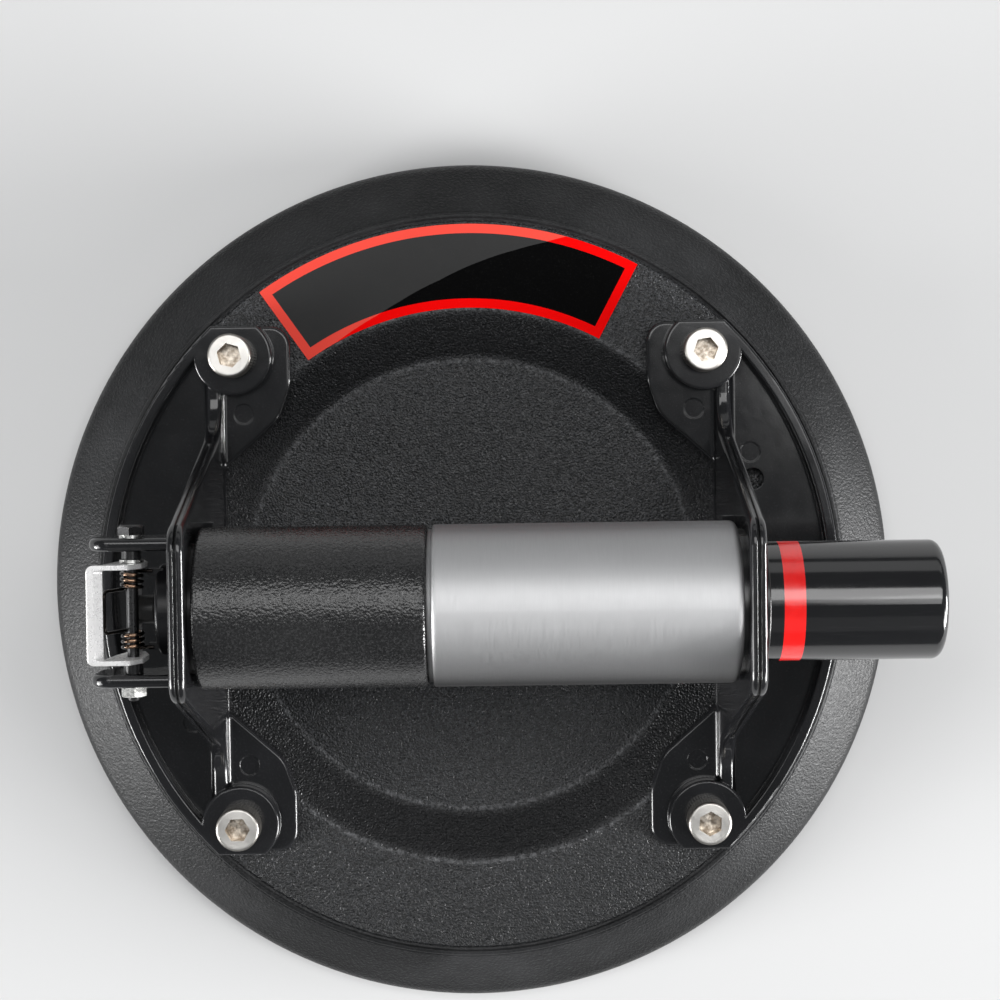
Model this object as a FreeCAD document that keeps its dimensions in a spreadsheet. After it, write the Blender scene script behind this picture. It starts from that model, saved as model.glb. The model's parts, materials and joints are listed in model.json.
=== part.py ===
import FreeCAD, Part
import Sketcher
import math
import os

V = FreeCAD.Vector
doc = FreeCAD.newDocument("suction_lifter")

# ---------------------------------------------------------------------------
# Driving dimensions, millimetres (degrees where the name says so).
# X runs along the handle towards the plunger, Y across it, Z up from the floor.
# ---------------------------------------------------------------------------
DIMS = [
    # suction pad
    ("pad_rad", 100.0), ("pad_edge_low", 1.5), ("pad_edge_top", 4.2),
    ("lip_foot_in", 91.5), ("lip_foot_out", 98.0), ("cavity_top", 7.0),
    ("cavity_rad", 78.0), ("cavity_knee_rad", 86.0), ("cavity_knee_z", 4.2),
    ("shoulder_rad", 88.4), ("shoulder_z", 17.5), ("shoulder_bulge", 20.0),
    ("band_z", 19.4), ("band_rad", 86.4),
    # backing plate
    ("plate_lip_rad", 85.6), ("plate_rad", 86.8), ("plate_top", 18.5),
    ("plate_thick", 3.0), ("dish_rad_top", 64.9), ("dish_rad_low", 53.9),
    ("dish_z", 14.5), ("plate_edge_rad", 85.15), ("plate_edge_drop", 0.3),
    # bracket foot
    ("foot_rad", 85.3), ("rim_rad", 82.7), ("foot_floor_z", 22.0),
    ("foot_top_z", 26.0), ("foot_end_y", 61.3), ("foot_lug_x", 41.4),
    ("foot_lug_y", 47.5), ("foot_knee_x", 44.0), ("foot_knee_y", 39.8),
    ("foot_tip_y", 28.4), ("boss_rad", 9.0), ("drain_x", 65.9),
    ("drain_y", 24.5), ("drain_rad", 2.5), ("mark_rad", 2.3), ("mark_deep", 0.2),
    ("mark_lug_x", 52.3), ("mark_lug_y", 41.0), ("mark_pocket_x", 65.3),
    ("mark_pocket_y", 30.7),
    # web of the bracket
    ("web_in", 57.1), ("web_thick", 3.5), ("web_top_z", 87.5),
    ("web_half", 16.9), ("web_toe_y", 37.2), ("web_toe_z", 25.0),
    ("web_end_y", 48.4), ("web_corner", 5.5), ("web_toe_round", 10.0),
    ("web_edge", 1.2), ("groove_wide", 0.7), ("groove_deep", 0.5),
    ("cradle_rad_in", 17.08), ("cradle_rad_out", 20.4), ("cradle_deep", 2.6),
    ("cradle_top_z", 60.0),
    # screws
    ("screw_x", 54.25), ("screw_y", 54.3), ("screw_rad", 3.0),
    ("screw_head_rad", 5.0), ("screw_head_len", 6.0), ("screw_low_z", 11.4),
    ("hex_af", 5.0), ("hex_deep", 3.4), ("insert_rad", 5.5),
    ("insert_low_z", 10.6), ("limiter_rad", 4.4), ("thread_gap", 0.02),
    # label
    ("label_in", 65.2), ("label_out", 84.7), ("label_thick", 0.3),
    ("label_from_deg", 62.0), ("label_to_deg", 125.0),
    # handle barrel and grip
    ("axis_z", 70.0), ("barrel_end", 56.1), ("bore_rad", 13.7),
    ("barrel_thin_rad", 15.2), ("barrel_rad", 17.0), ("steel_from", -7.3),
    ("steel_lip_from", -8.3), ("steel_lip_rad", 16.0), ("grip_from", -56.05),
    ("grip_to", -8.45), ("grip_rad", 17.0),
    # valve head in the left end of the barrel
    ("head_rad", 13.66), ("head_face", -46.0), ("nose_rad", 6.0),
    ("nose_end", -62.0), ("air_rad", 2.0), ("pocket_rad", 5.2),
    ("seat_x", -52.0), ("ring_groove_from", -51.6), ("ring_groove_to", -48.8),
    ("ring_groove_rad", 11.3), ("ring_wire", 1.15), ("ring_mid", 12.5),
    # check valve
    ("poppet_rad", 4.4), ("poppet_from", -51.98), ("poppet_to", -50.7),
    ("stem_rad", 1.1), ("stem_end", -46.8), ("cage_from", -47.4),
    ("cage_to", -46.2), ("cage_rad", 5.17), ("cage_hole", 1.15),
    ("cage_port_rad", 0.9), ("cage_port_pcr", 3.2),
    ("small_spring_rad", 2.3), ("small_spring_wire", 0.25),
    ("small_spring_turns", 3.0),
    # vent housing on the outer side of the left web
    ("vent_rad", 9.5), ("vent_to", -64.5), ("vent_nozzle_rad", 2.3),
    ("vent_nozzle_to", -65.4), ("vent_hole", 1.2), ("vent_chamber_rad", 4.0),
    ("vent_chamber_to", -63.2), ("rest_y_in", 7.4), ("rest_y_out", 8.8),
    ("rest_shift", 0.8), ("rest_to", -66.4), ("rest_low", 2.4),
    ("rest_high", 4.5),
    # air duct up the left web
    ("duct_x", -62.65), ("duct_rad", 1.7), ("duct_half", 4.2),
    ("duct_out", -66.0), ("port_x", -70.5), ("port_rad", 2.0),
    ("slot_half", 2.0), ("slot_deep", 1.5), ("gasket_in", 3.0),
    ("gasket_out", 4.5), ("gasket_high", 1.0),
    # guide bush in the right end of the barrel
    ("bush_from", 37.3), ("bush_bore", 12.56), ("bush_rad", 13.66),
    ("bush_flange_rad", 15.2), ("bush_flange_len", 1.5),
    ("bush_neck_rad", 13.4), ("bush_to", 61.8), ("wiper_from", 58.4),
    ("wiper_to", 60.0), ("wiper_groove_rad", 13.0), ("wiper_bore", 12.54),
    # plunger
    ("plunger_rad", 12.5), ("plunger_bore", 10.4), ("plunger_from", 12.0),
    ("plunger_end", 98.5), ("plunger_wall", 3.0), ("plunger_round", 2.0),
    ("band_from", 64.6), ("band_to", 69.0), ("band_floor", 12.1),
    ("clip_from", 36.2), ("clip_to", 37.25), ("clip_groove_rad", 11.7),
    ("clip_rad", 13.4), ("piston_from", 4.0), ("piston_rad", 13.62),
    ("piston_spigot_to", 20.0), ("piston_spigot_rad", 10.36),
    ("cup_from", 6.0), ("cup_to", 9.6), ("cup_groove_rad", 11.2),
    ("cup_rad", 13.66), ("spring_rad", 9.0), ("spring_wire", 0.8),
    ("spring_turns", 8.0),
    # release lever and its pivot
    ("pivot_x", -69.2), ("pivot_z", 77.0), ("lever_half", 10.2),
    ("lever_sheet", 1.0), ("lever_out", -8.0), ("lever_low", 6.2),
    ("lever_top", 8.0), ("lever_lean", 2.75), ("lever_back", 1.5), ("bend_rad", 1.4),
    ("bridge_from", -1.0),
    ("bridge_low", -11.0), ("bridge_top", -4.5), ("pin_rad", 1.25),
    ("pin_gap", 0.03), ("ear_in", 12.7), ("ear_out", 15.4), ("ear_end", -78.0),
    ("ear_top_z", 80.6), ("ear_low_z", 66.0), ("ear_root_z", 61.0),
    ("plug_z", -7.0), ("plug_rad", 3.0), ("plug_to", 3.72),
    ("plug_stem", 1.3), ("plug_bulb", 2.0), ("washer_rad", 2.5),
    ("washer_thick", 0.6), ("bolt_af", 5.0), ("bolt_head_len", 2.0),
    ("nut_len", 2.0), ("bushing_rad", 2.0),
    ("torsion_rad", 2.05), ("torsion_wire", 0.4), ("torsion_pitch", 1.15),
    ("torsion_in_plus", 4.75), ("torsion_in_minus", -3.8),
]

sheet = doc.addObject("Spreadsheet::Sheet", "dims")
for row, (name, value) in enumerate(DIMS, start=1):
    sheet.set("A%d" % row, name)
    sheet.set("B%d" % row, repr(value))
    sheet.setAlias("B%d" % row, name)
doc.recompute()


class Q:
    """A size: its number, and the sheet expression that gives it."""

    def __init__(self, v, e):
        self.v = float(v)
        self.e = e

    @staticmethod
    def of(o):
        return o if isinstance(o, Q) else Q(o, "(%s)" % repr(float(o)))

    def __add__(self, o):
        o = Q.of(o)
        return Q(self.v + o.v, "(%s + %s)" % (self.e, o.e))

    def __radd__(self, o):
        return Q.of(o) + self

    def __sub__(self, o):
        o = Q.of(o)
        return Q(self.v - o.v, "(%s - %s)" % (self.e, o.e))

    def __rsub__(self, o):
        return Q.of(o) - self

    def __mul__(self, o):
        o = Q.of(o)
        return Q(self.v * o.v, "(%s * %s)" % (self.e, o.e))

    def __rmul__(self, o):
        return Q.of(o) * self

    def __truediv__(self, o):
        o = Q.of(o)
        return Q(self.v / o.v, "(%s / %s)" % (self.e, o.e))

    def __neg__(self):
        return Q(-self.v, "(-1 * %s)" % self.e)


class Dims:
    pass


P = Dims()
for name, value in DIMS:
    setattr(P, name, Q(getattr(sheet, name), "dims." + name))
ZERO = Q(0.0, "0")

SUBPARTS = []


# ---------------------------------------------------------------------------
# Small helpers: bodies, sketches and features bound to the sheet
# ---------------------------------------------------------------------------
def plane(body, role):
    for f in body.Origin.OriginFeatures:
        if f.Role == role:
            return f
    raise RuntimeError("no plane " + role)


def new_body(label, x=None, y=None, z=None, node=True):
    body = doc.addObject("PartDesign::Body", label)
    body.Label = label
    if hasattr(body, "AllowCompound"):
        body.AllowCompound = True
    for key, q in (("x", x), ("y", y), ("z", z)):
        if q is not None:
            body.setExpression("Placement.Base." + key, Q.of(q).e)
    if node:
        SUBPARTS.append(body)
    return body


def new_sketch(body, name, role, offset=None):
    sk = body.newObject("Sketcher::SketchObject", name)
    sk.AttachmentSupport = [(plane(body, role), "")]
    sk.MapMode = "FlatFace"
    if offset is not None:
        sk.AttachmentOffset = FreeCAD.Placement(V(0, 0, Q.of(offset).v),
                                                FreeCAD.Rotation())
        sk.setExpression("AttachmentOffset.Base.z", Q.of(offset).e)
    return sk


def num(c):
    return c.v if isinstance(c, Q) else float(c)


def fix_point(sk, geo, pos, x, y):
    """Dimension a point from the sketch origin; a plain float is left free."""
    for kind, q, axis in (("DistanceX", x, -2), ("DistanceY", y, -1)):
        if not isinstance(q, Q):
            continue
        if q.v == 0.0:
            sk.addConstraint(Sketcher.Constraint("PointOnObject", geo, pos, axis))
        elif q.v > 0:
            i = sk.addConstraint(Sketcher.Constraint(kind, -1, 1, geo, pos, q.v))
            sk.setExpression("Constraints[%d]" % i, q.e)
        else:
            i = sk.addConstraint(Sketcher.Constraint(kind, geo, pos, -1, 1, -q.v))
            sk.setExpression("Constraints[%d]" % i, "-1 * " + q.e)


def outline(sk, pts, arcs=None):
    """Closed outline of lines through pts. arcs maps the index of a point to
    (cx, cy, radius, ccw) for the arc from that point to the next."""
    arcs = arcs or {}
    n = len(pts)
    ends = []
    for i in range(n):
        a, b = pts[i], pts[(i + 1) % n]
        if i in arcs:
            cx, cy, r, ccw = arcs[i]
            a0 = math.atan2(num(a[1]) - num(cy), num(a[0]) - num(cx))
            a1 = math.atan2(num(b[1]) - num(cy), num(b[0]) - num(cx))
            circle = Part.Circle(V(num(cx), num(cy), 0), V(0, 0, 1), num(r))
            if ccw:
                if a1 <= a0:
                    a1 += 2 * math.pi
                g = sk.addGeometry(Part.ArcOfCircle(circle, a0, a1), False)
                ends.append((g, 1, 2))
            else:
                if a0 <= a1:
                    a0 += 2 * math.pi
                g = sk.addGeometry(Part.ArcOfCircle(circle, a1, a0), False)
                ends.append((g, 2, 1))
        else:
            g = sk.addGeometry(Part.LineSegment(V(num(a[0]), num(a[1]), 0),
                                                V(num(b[0]), num(b[1]), 0)), False)
            ends.append((g, 1, 2))
    for i in range(n):
        g, _, e = ends[i]
        h, s, _ = ends[(i + 1) % n]
        sk.addConstraint(Sketcher.Constraint("Coincident", g, e, h, s))
    for i in arcs:
        cx, cy, r, ccw = arcs[i]
        g = ends[i][0]
        cxq, cyq = cx, cy
        if isinstance(cxq, Q) and isinstance(cyq, Q) and cxq.v == 0 and cyq.v == 0:
            sk.addConstraint(Sketcher.Constraint("Coincident", g, 3, -1, 1))
        else:
            fix_point(sk, g, 3, cxq, cyq)
        if isinstance(r, Q):
            k = sk.addConstraint(Sketcher.Constraint("Radius", g, r.v))
            sk.setExpression("Constraints[%d]" % k, r.e)
    for i in range(n):
        g, s, _ = ends[i]
        fix_point(sk, g, s, pts[i][0], pts[i][1])
    return ends


def circle(sk, x, y, r):
    g = sk.addGeometry(Part.Circle(V(num(x), num(y), 0), V(0, 0, 1), num(r)), False)
    if num(x) == 0 and num(y) == 0:
        sk.addConstraint(Sketcher.Constraint("Coincident", g, 3, -1, 1))
    else:
        fix_point(sk, g, 3, Q.of(x), Q.of(y))
    k = sk.addConstraint(Sketcher.Constraint("Radius", g, num(r)))
    sk.setExpression("Constraints[%d]" % k, Q.of(r).e)
    return g


def hexagon(sk, x, y, af, turn=0.0):
    """Regular hexagon by its across-flats size, its corners dimensioned."""
    pts = []
    k = Q.of(af) / math.sqrt(3.0)
    for i in range(6):
        a = math.radians(turn + 60 * i)
        pts.append((Q.of(x) + k * round(math.cos(a), 9),
                    Q.of(y) + k * round(math.sin(a), 9)))
    outline(sk, [(Q(p[0].v if abs(p[0].v) > 1e-9 else 0.0, p[0].e),
                  Q(p[1].v if abs(p[1].v) > 1e-9 else 0.0, p[1].e)) for p in pts])


def volume(body):
    doc.recompute()
    return body.Shape.Volume


def feature(body, kind, name, sk, length=None, reverse=False, mid=False,
            expect=None):
    f = body.newObject("PartDesign::" + kind, name)
    f.Profile = sk
    if length is None:
        f.Type = "ThroughAll"
    else:
        f.Length = Q.of(length).v
        f.setExpression("Length", Q.of(length).e)
    if hasattr(f, "Midplane"):
        f.Midplane = mid
    elif mid:
        f.SideType = "Symmetric"
    f.Reversed = reverse
    sk.Visibility = False
    return f


def pad(body, name, sk, length, reverse=False, mid=False):
    return feature(body, "Pad", name, sk, length, reverse, mid)


def pocket(body, name, sk, length, reverse=False, mid=False):
    """Cut, and make sure that it really cut something."""
    before = volume(body)
    f = feature(body, "Pocket", name, sk, length, reverse, mid)
    after = volume(body)
    if not after < before - 1e-6:
        raise RuntimeError("pocket %s in %s cut nothing" % (name, body.Label))
    return f


def revolve(body, name, sk, axis):
    f = body.newObject("PartDesign::Revolution", name)
    f.Profile = sk
    f.ReferenceAxis = (sk, [axis])
    f.Angle = 360.0
    sk.Visibility = False
    return f


def groove(body, name, sk, axis):
    before = volume(body)
    f = body.newObject("PartDesign::Groove", name)
    f.Profile = sk
    f.ReferenceAxis = (sk, [axis])
    f.Angle = 360.0
    after = volume(body)
    if not after < before - 1e-6:
        raise RuntimeError("groove %s cut nothing" % name)
    return f


def round_edges(body, name, radius, wanted, kind="Fillet"):
    """Fillet or chamfer the edges that wanted(edge) picks. The feature is kept
    only if the solid stays valid and really changes."""
    doc.recompute()
    tip = body.Tip
    picked = ["Edge%d" % (i + 1) for i, e in enumerate(tip.Shape.Edges)
              if wanted(e)]
    if not picked:
        raise RuntimeError("no edges for %s in %s" % (name, body.Label))
    before = tip.Shape.Volume
    f = body.newObject("PartDesign::" + kind, name)
    f.Base = (tip, picked)
    if kind == "Fillet":
        f.Radius = Q.of(radius).v
        f.setExpression("Radius", Q.of(radius).e)
    else:
        f.Size = Q.of(radius).v
        f.setExpression("Size", Q.of(radius).e)
    doc.recompute()
    ok = (not f.Shape.isNull() and f.Shape.isValid()
          and "Invalid" not in f.State and "Error" not in f.State
          and abs(f.Shape.Volume - before) > 1e-7)
    if not ok:
        raise RuntimeError("%s %s in %s failed on %d edges"
                           % (kind, name, body.Label, len(picked)))
    return f


def turned(label, pts, arcs=None, lift=True):
    """A body turned about the handle's axis: pts are (x, radius)."""
    body = new_body(label, z=P.axis_z if lift else None)
    sk = new_sketch(body, label + "_profile", "XZ_Plane")
    outline(sk, pts, arcs)
    revolve(body, label + "_turn", sk, "H_Axis")
    return body


def mid_of(e):
    return e.valueAt((e.FirstParameter + e.LastParameter) / 2.0)


def near(a, b, tol=0.02):
    return abs(a - b) < tol


def is_circle(e, r=None):
    c = e.Curve
    return isinstance(c, Part.Circle) and (r is None or near(c.Radius, r, 0.01))


# ---------------------------------------------------------------------------
# Suction pad: moulded rubber cup with a soft sealing lip
# ---------------------------------------------------------------------------
plate_low = P.plate_top - P.plate_thick
dish_low = P.dish_z - P.plate_thick
edge_z = P.plate_top - P.plate_edge_drop
under_top = P.dish_rad_top - 0.8
under_low = P.dish_rad_low - 0.8

pad_body = new_body("suction_pad")
sk = new_sketch(pad_body, "pad_profile", "XZ_Plane")
# the centre of the arc that rounds the shoulder
ax, az = P.pad_rad.v, P.pad_edge_top.v
bx, bz = P.shoulder_rad.v, P.shoulder_z.v
mx, mz = (ax + bx) / 2, (az + bz) / 2
half = math.hypot(bx - ax, bz - az) / 2
back = math.sqrt(P.shoulder_bulge.v ** 2 - half ** 2)
ux, uz = -(bz - az) / (2 * half), (bx - ax) / (2 * half)
cx, cz = mx + ux * back, mz + uz * back
outline(sk, [
    (ZERO, P.cavity_top), (P.cavity_rad, P.cavity_top),
    (P.cavity_knee_rad, P.cavity_knee_z), (P.lip_foot_in, ZERO),
    (P.lip_foot_out, ZERO), (P.pad_rad, P.pad_edge_low),
    (P.pad_rad, P.pad_edge_top), (P.shoulder_rad, P.shoulder_z),
    (P.shoulder_rad - 0.25, P.shoulder_z - 0.35),
    (P.shoulder_rad - 0.5, P.shoulder_z + 0.15),
    (P.band_rad, P.band_z), (P.plate_lip_rad, P.band_z - 0.1),
    (P.plate_lip_rad, edge_z), (P.plate_rad, edge_z),
    (P.plate_rad, plate_low), (under_top, plate_low),
    (under_low, dish_low), (ZERO, dish_low),
], {6: (cx, cz, P.shoulder_bulge, True)})
revolve(pad_body, "pad_turn", sk, "V_Axis")
doc.recompute()
# blind sockets for the plate's threaded bosses
sk = new_sketch(pad_body, "boss_sockets", "XY_Plane", P.insert_low_z)
for sx in (1, -1):
    for sy in (1, -1):
        circle(sk, P.screw_x * sx, P.screw_y * sy, P.insert_rad)
pocket(pad_body, "boss_socket_cut", sk, plate_low - P.insert_low_z, reverse=True)
# the air port from the cavity up to the plate
sk = new_sketch(pad_body, "air_port", "XY_Plane")
circle(sk, P.port_x, 0, P.port_rad)
pocket(pad_body, "air_port_cut", sk, plate_low + 1.0, reverse=True)

# ---------------------------------------------------------------------------
# Backing plate: dished aluminium plate
# ---------------------------------------------------------------------------
plate_body = new_body("backing_plate")
sk = new_sketch(plate_body, "plate_profile", "XZ_Plane")
outline(sk, [
    (ZERO, dish_low), (under_low, dish_low), (under_top, plate_low),
    (P.plate_rad, plate_low), (P.plate_rad, edge_z),
    (P.plate_lip_rad - 0.02, edge_z), (P.plate_edge_rad, P.plate_top),
    (P.dish_rad_top, P.plate_top), (P.dish_rad_low, P.dish_z),
    (ZERO, P.dish_z),
])
revolve(plate_body, "plate_turn", sk, "V_Axis")
round_edges(plate_body, "dish_round", Q(1.6, "1.6"),
            lambda e: is_circle(e, P.dish_rad_top.v) and near(mid_of(e).z, P.plate_top.v))
round_edges(plate_body, "dish_foot_round", Q(2.5, "2.5"),
            lambda e: is_circle(e, P.dish_rad_low.v) and near(mid_of(e).z, P.dish_z.v))
sk = new_sketch(plate_body, "plate_holes", "XY_Plane", P.plate_top)
for sx in (1, -1):
    for sy in (1, -1):
        circle(sk, P.screw_x * sx, P.screw_y * sy, P.screw_rad + 0.3)
circle(sk, P.port_x, 0, P.port_rad)
pocket(plate_body, "plate_hole_cut", sk, P.plate_thick + 2.0)


# ---------------------------------------------------------------------------
# Repeated pieces at the four screws
# ---------------------------------------------------------------------------
def ring_at_screws(label, r_out, r_in, low, high):
    body = new_body(label)
    sk = new_sketch(body, label + "_rings", "XY_Plane", low)
    for sx in (1, -1):
        for sy in (1, -1):
            circle(sk, P.screw_x * sx, P.screw_y * sy, r_out)
            circle(sk, P.screw_x * sx, P.screw_y * sy, r_in)
    pad(body, label + "_pad", sk, high - low)
    return body


boss_body = ring_at_screws("threaded_bosses", P.insert_rad,
                           P.screw_rad + P.thread_gap, P.insert_low_z, plate_low)
limiter_body = ring_at_screws("screw_limiters", P.limiter_rad, P.screw_rad + 0.2,
                              P.plate_top, P.foot_top_z)

screws = new_body("bracket_screws")
sk = new_sketch(screws, "screw_shanks", "XY_Plane", P.screw_low_z)
for sx in (1, -1):
    for sy in (1, -1):
        circle(sk, P.screw_x * sx, P.screw_y * sy, P.screw_rad)
pad(screws, "shank_pad", sk, P.foot_top_z - P.screw_low_z + 0.5)
sk = new_sketch(screws, "screw_heads", "XY_Plane", P.foot_top_z)
for sx in (1, -1):
    for sy in (1, -1):
        circle(sk, P.screw_x * sx, P.screw_y * sy, P.screw_head_rad)
pad(screws, "head_pad", sk, P.screw_head_len)
head_top = P.foot_top_z + P.screw_head_len
round_edges(screws, "head_round", Q(0.7, "0.7"),
            lambda e: is_circle(e, P.screw_head_rad.v) and near(mid_of(e).z, head_top.v))
sk = new_sketch(screws, "screw_sockets", "XY_Plane", head_top)
for k, (sx, sy) in enumerate(((1, 1), (1, -1), (-1, 1), (-1, -1))):
    hexagon(sk, P.screw_x * sx, P.screw_y * sy, P.hex_af, 10.0 + 17.0 * k)
pocket(screws, "socket_cut", sk, P.hex_deep)
round_edges(screws, "shank_point", Q(0.5, "0.5"),
            lambda e: is_circle(e, P.screw_rad.v) and near(mid_of(e).z, P.screw_low_z.v),
            "Chamfer")


# ---------------------------------------------------------------------------
# The two handle brackets, mirror images
# ---------------------------------------------------------------------------
def bracket(label):
    """One moulding serves both ends. The valve's end is drawn the same way and
    then turned half round the cup's axis."""
    b = new_body(label)
    s = 1
    low = P.plate_top
    ccw = s > 0

    # base flange
    sk = new_sketch(b, label + "_flange", "XY_Plane", low)
    ox = math.sqrt(P.foot_rad.v ** 2 - P.foot_end_y.v ** 2)
    up = [(P.web_in * s - 0.3 * s, P.foot_tip_y), (P.foot_knee_x * s, P.foot_knee_y),
          (P.foot_lug_x * s, P.foot_lug_y), (P.foot_lug_x * s, P.foot_end_y),
          (ox * s, P.foot_end_y)]
    down = [(p[0], -p[1]) for p in reversed(up)]
    down[0] = (float(ox * s), -P.foot_end_y)
    outline(sk, up + down, {4: (ZERO, ZERO, P.foot_rad, not ccw)})
    pad(b, label + "_flange_pad", sk, P.foot_floor_z - low)

    def vertical(x, y):
        def test(e):
            m = mid_of(e)
            return (isinstance(e.Curve, Part.Line) and near(abs(m.x), abs(x), 0.3)
                    and near(abs(m.y), y, 0.3)
                    and abs(e.tangentAt(e.FirstParameter).z) > 0.99)
        return test

    round_edges(b, label + "_round_knee", Q(9.0, "9"),
                vertical(P.foot_knee_x.v, P.foot_knee_y.v))
    round_edges(b, label + "_round_lug", Q(8.0, "8"),
                vertical(P.foot_lug_x.v, P.foot_lug_y.v))
    round_edges(b, label + "_round_end", Q(4.6, "4.6"),
                vertical(P.foot_lug_x.v, P.foot_end_y.v))

    def flange_edge(e):
        pts = [e.valueAt(e.FirstParameter), mid_of(e), e.valueAt(e.LastParameter)]
        return (all(near(p.z, P.foot_floor_z.v) for p in pts)
                and not is_circle(e, P.foot_rad.v))
    round_edges(b, label + "_soft_flange", Q(0.8, "0.8"), flange_edge)

    # outer rim along the arc
    sk = new_sketch(b, label + "_rim", "XY_Plane", P.foot_floor_z - 1.5)
    ix = math.sqrt(P.rim_rad.v ** 2 - P.foot_end_y.v ** 2)
    outline(sk, [(float(ox * s), P.foot_end_y), (float(ox * s), -P.foot_end_y),
                 (float(ix * s), -P.foot_end_y), (float(ix * s), P.foot_end_y)],
            {0: (ZERO, ZERO, P.foot_rad, not ccw), 2: (ZERO, ZERO, P.rim_rad, ccw)})
    pad(b, label + "_rim_pad", sk, P.foot_top_z - P.foot_floor_z + 1.5)

    # screw bosses, cut off flush with the end of the foot
    cutx = math.sqrt(P.boss_rad.v ** 2 - (P.foot_end_y.v - P.screw_y.v) ** 2)
    for sy in (1, -1):
        sk = new_sketch(b, label + ("_boss_up" if sy > 0 else "_boss_down"),
                        "XY_Plane", P.foot_floor_z - 1.5)
        bx, by = P.screw_x * s, P.screw_y * sy
        a0 = math.radians(-4.5)
        jx = P.screw_x.v + P.boss_rad.v * math.cos(a0)
        jy = P.screw_y.v + P.boss_rad.v * math.sin(a0)
        pts = [(float((P.screw_x.v - cutx) * s), P.foot_end_y * sy),
               (float(jx * s), P.screw_y * sy - Q.of(0.706) * sy),
               (Q.of(ox * s) - 0.05 * s, P.foot_end_y * sy)]
        outline(sk, pts, {0: (bx, by, P.boss_rad, s * sy > 0)})
        pad(b, label + ("_boss_pad_up" if sy > 0 else "_boss_pad_down"), sk,
            P.foot_top_z - P.foot_floor_z + 1.5)

    def top_edge(e):
        pts = [e.valueAt(e.FirstParameter), mid_of(e), e.valueAt(e.LastParameter)]
        return all(near(p.z, P.foot_top_z.v) for p in pts)
    round_edges(b, label + "_soft_top", Q(0.6, "0.6"), top_edge)

    # web: the side plate that carries the handle
    wo = P.web_in + P.web_thick
    first = P.web_in * s if s > 0 else -wo
    sk = new_sketch(b, label + "_web", "YZ_Plane", first)
    outline(sk, [(-P.web_end_y, low), (P.web_end_y, low), (P.web_end_y, P.web_toe_z),
                 (P.web_toe_y, P.web_toe_z), (P.web_half, P.web_top_z),
                 (-P.web_half, P.web_top_z), (-P.web_toe_y, P.web_toe_z),
                 (-P.web_end_y, P.web_toe_z)])
    pad(b, label + "_web_pad", sk, P.web_thick)

    def across(y, z):
        def test(e):
            m = mid_of(e)
            return (isinstance(e.Curve, Part.Line) and near(abs(m.y), y, 0.05)
                    and near(m.z, z, 0.05)
                    and abs(e.tangentAt(e.FirstParameter).x) > 0.99)
        return test

    round_edges(b, label + "_web_corner", P.web_corner,
                across(P.web_half.v, P.web_top_z.v))
    round_edges(b, label + "_web_toe", P.web_toe_round,
                across(P.web_toe_y.v, P.web_toe_z.v))

    # rounded rim all along the free edge of the web
    def web_edge(e):
        ok = True
        for p in (e.valueAt(e.FirstParameter), mid_of(e), e.valueAt(e.LastParameter)):
            on_face = near(abs(p.x), P.web_in.v) or near(abs(p.x), wo.v)
            if not on_face or p.z < P.web_toe_z.v - 0.01:
                ok = False
        m = mid_of(e)
        t = e.tangentAt((e.FirstParameter + e.LastParameter) / 2)
        return ok and abs(t.x) < 0.01 and abs(m.y) < P.web_end_y.v - 0.1
    round_edges(b, label + "_web_rim", P.web_edge, web_edge)

    # hollow fillets where the web stands on the foot
    def web_foot(face_x):
        def test(e):
            m = mid_of(e)
            return (isinstance(e.Curve, Part.Line) and near(m.z, P.foot_floor_z.v)
                    and abs(e.tangentAt(e.FirstParameter).y) > 0.99
                    and near(abs(m.x), face_x.v))
        return test
    round_edges(b, label + "_foot_outer", Q(1.2, "1.2"), web_foot(wo))
    round_edges(b, label + "_foot_inner", Q(1.0, "1"), web_foot(P.web_in))

    # fine groove along the middle of the rim
    gd = P.groove_deep
    sk = new_sketch(b, label + "_groove", "YZ_Plane",
                    (P.web_in + P.web_thick / 2) * s)
    slope = math.atan2(P.web_top_z.v - P.web_toe_z.v, P.web_toe_y.v - P.web_half.v)
    lean = 1.0 / math.tan(slope)
    # the groove's floor runs gd inside the slope, so it is lower by this much in Y
    inset = P.groove_deep / math.sin(slope)

    def floor_y(z):
        return P.web_half - inset + (P.web_top_z - z) * lean
    cut_low = P.web_toe_z + 9.0
    top_in = P.web_top_z - 5.5
    outline(sk, [(P.web_half + 6, P.web_top_z + 2), (-P.web_half - 6, P.web_top_z + 2),
                 (-floor_y(cut_low) - 5, cut_low), (-floor_y(cut_low), cut_low),
                 (-floor_y(top_in), top_in),
                 (-P.web_half + 3.9, P.web_top_z - gd),
                 (P.web_half - 3.9, P.web_top_z - gd),
                 (floor_y(top_in), top_in),
                 (floor_y(cut_low), cut_low), (floor_y(cut_low) + 5, cut_low)])
    pocket(b, label + "_groove_cut", sk, P.groove_wide, mid=True)

    # cradle under the end of the barrel, on the inner face of the web
    inner = (P.web_in - P.cradle_deep) if s > 0 else -P.web_in
    sk = new_sketch(b, label + "_cradle", "YZ_Plane", inner)
    rz = P.cradle_top_z.v - P.axis_z.v
    yo = math.sqrt(P.cradle_rad_out.v ** 2 - rz ** 2)
    yi = math.sqrt(P.cradle_rad_in.v ** 2 - rz ** 2)
    outline(sk, [(float(yi), P.cradle_top_z), (float(yo), P.cradle_top_z),
                 (float(-yo), P.cradle_top_z), (float(-yi), P.cradle_top_z)],
            {1: (ZERO, P.axis_z, P.cradle_rad_out, False),
             3: (ZERO, P.axis_z, P.cradle_rad_in, True)})
    pad(b, label + "_cradle_pad", sk, P.cradle_deep + (0.3 if s > 0 else 0.0))

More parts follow.
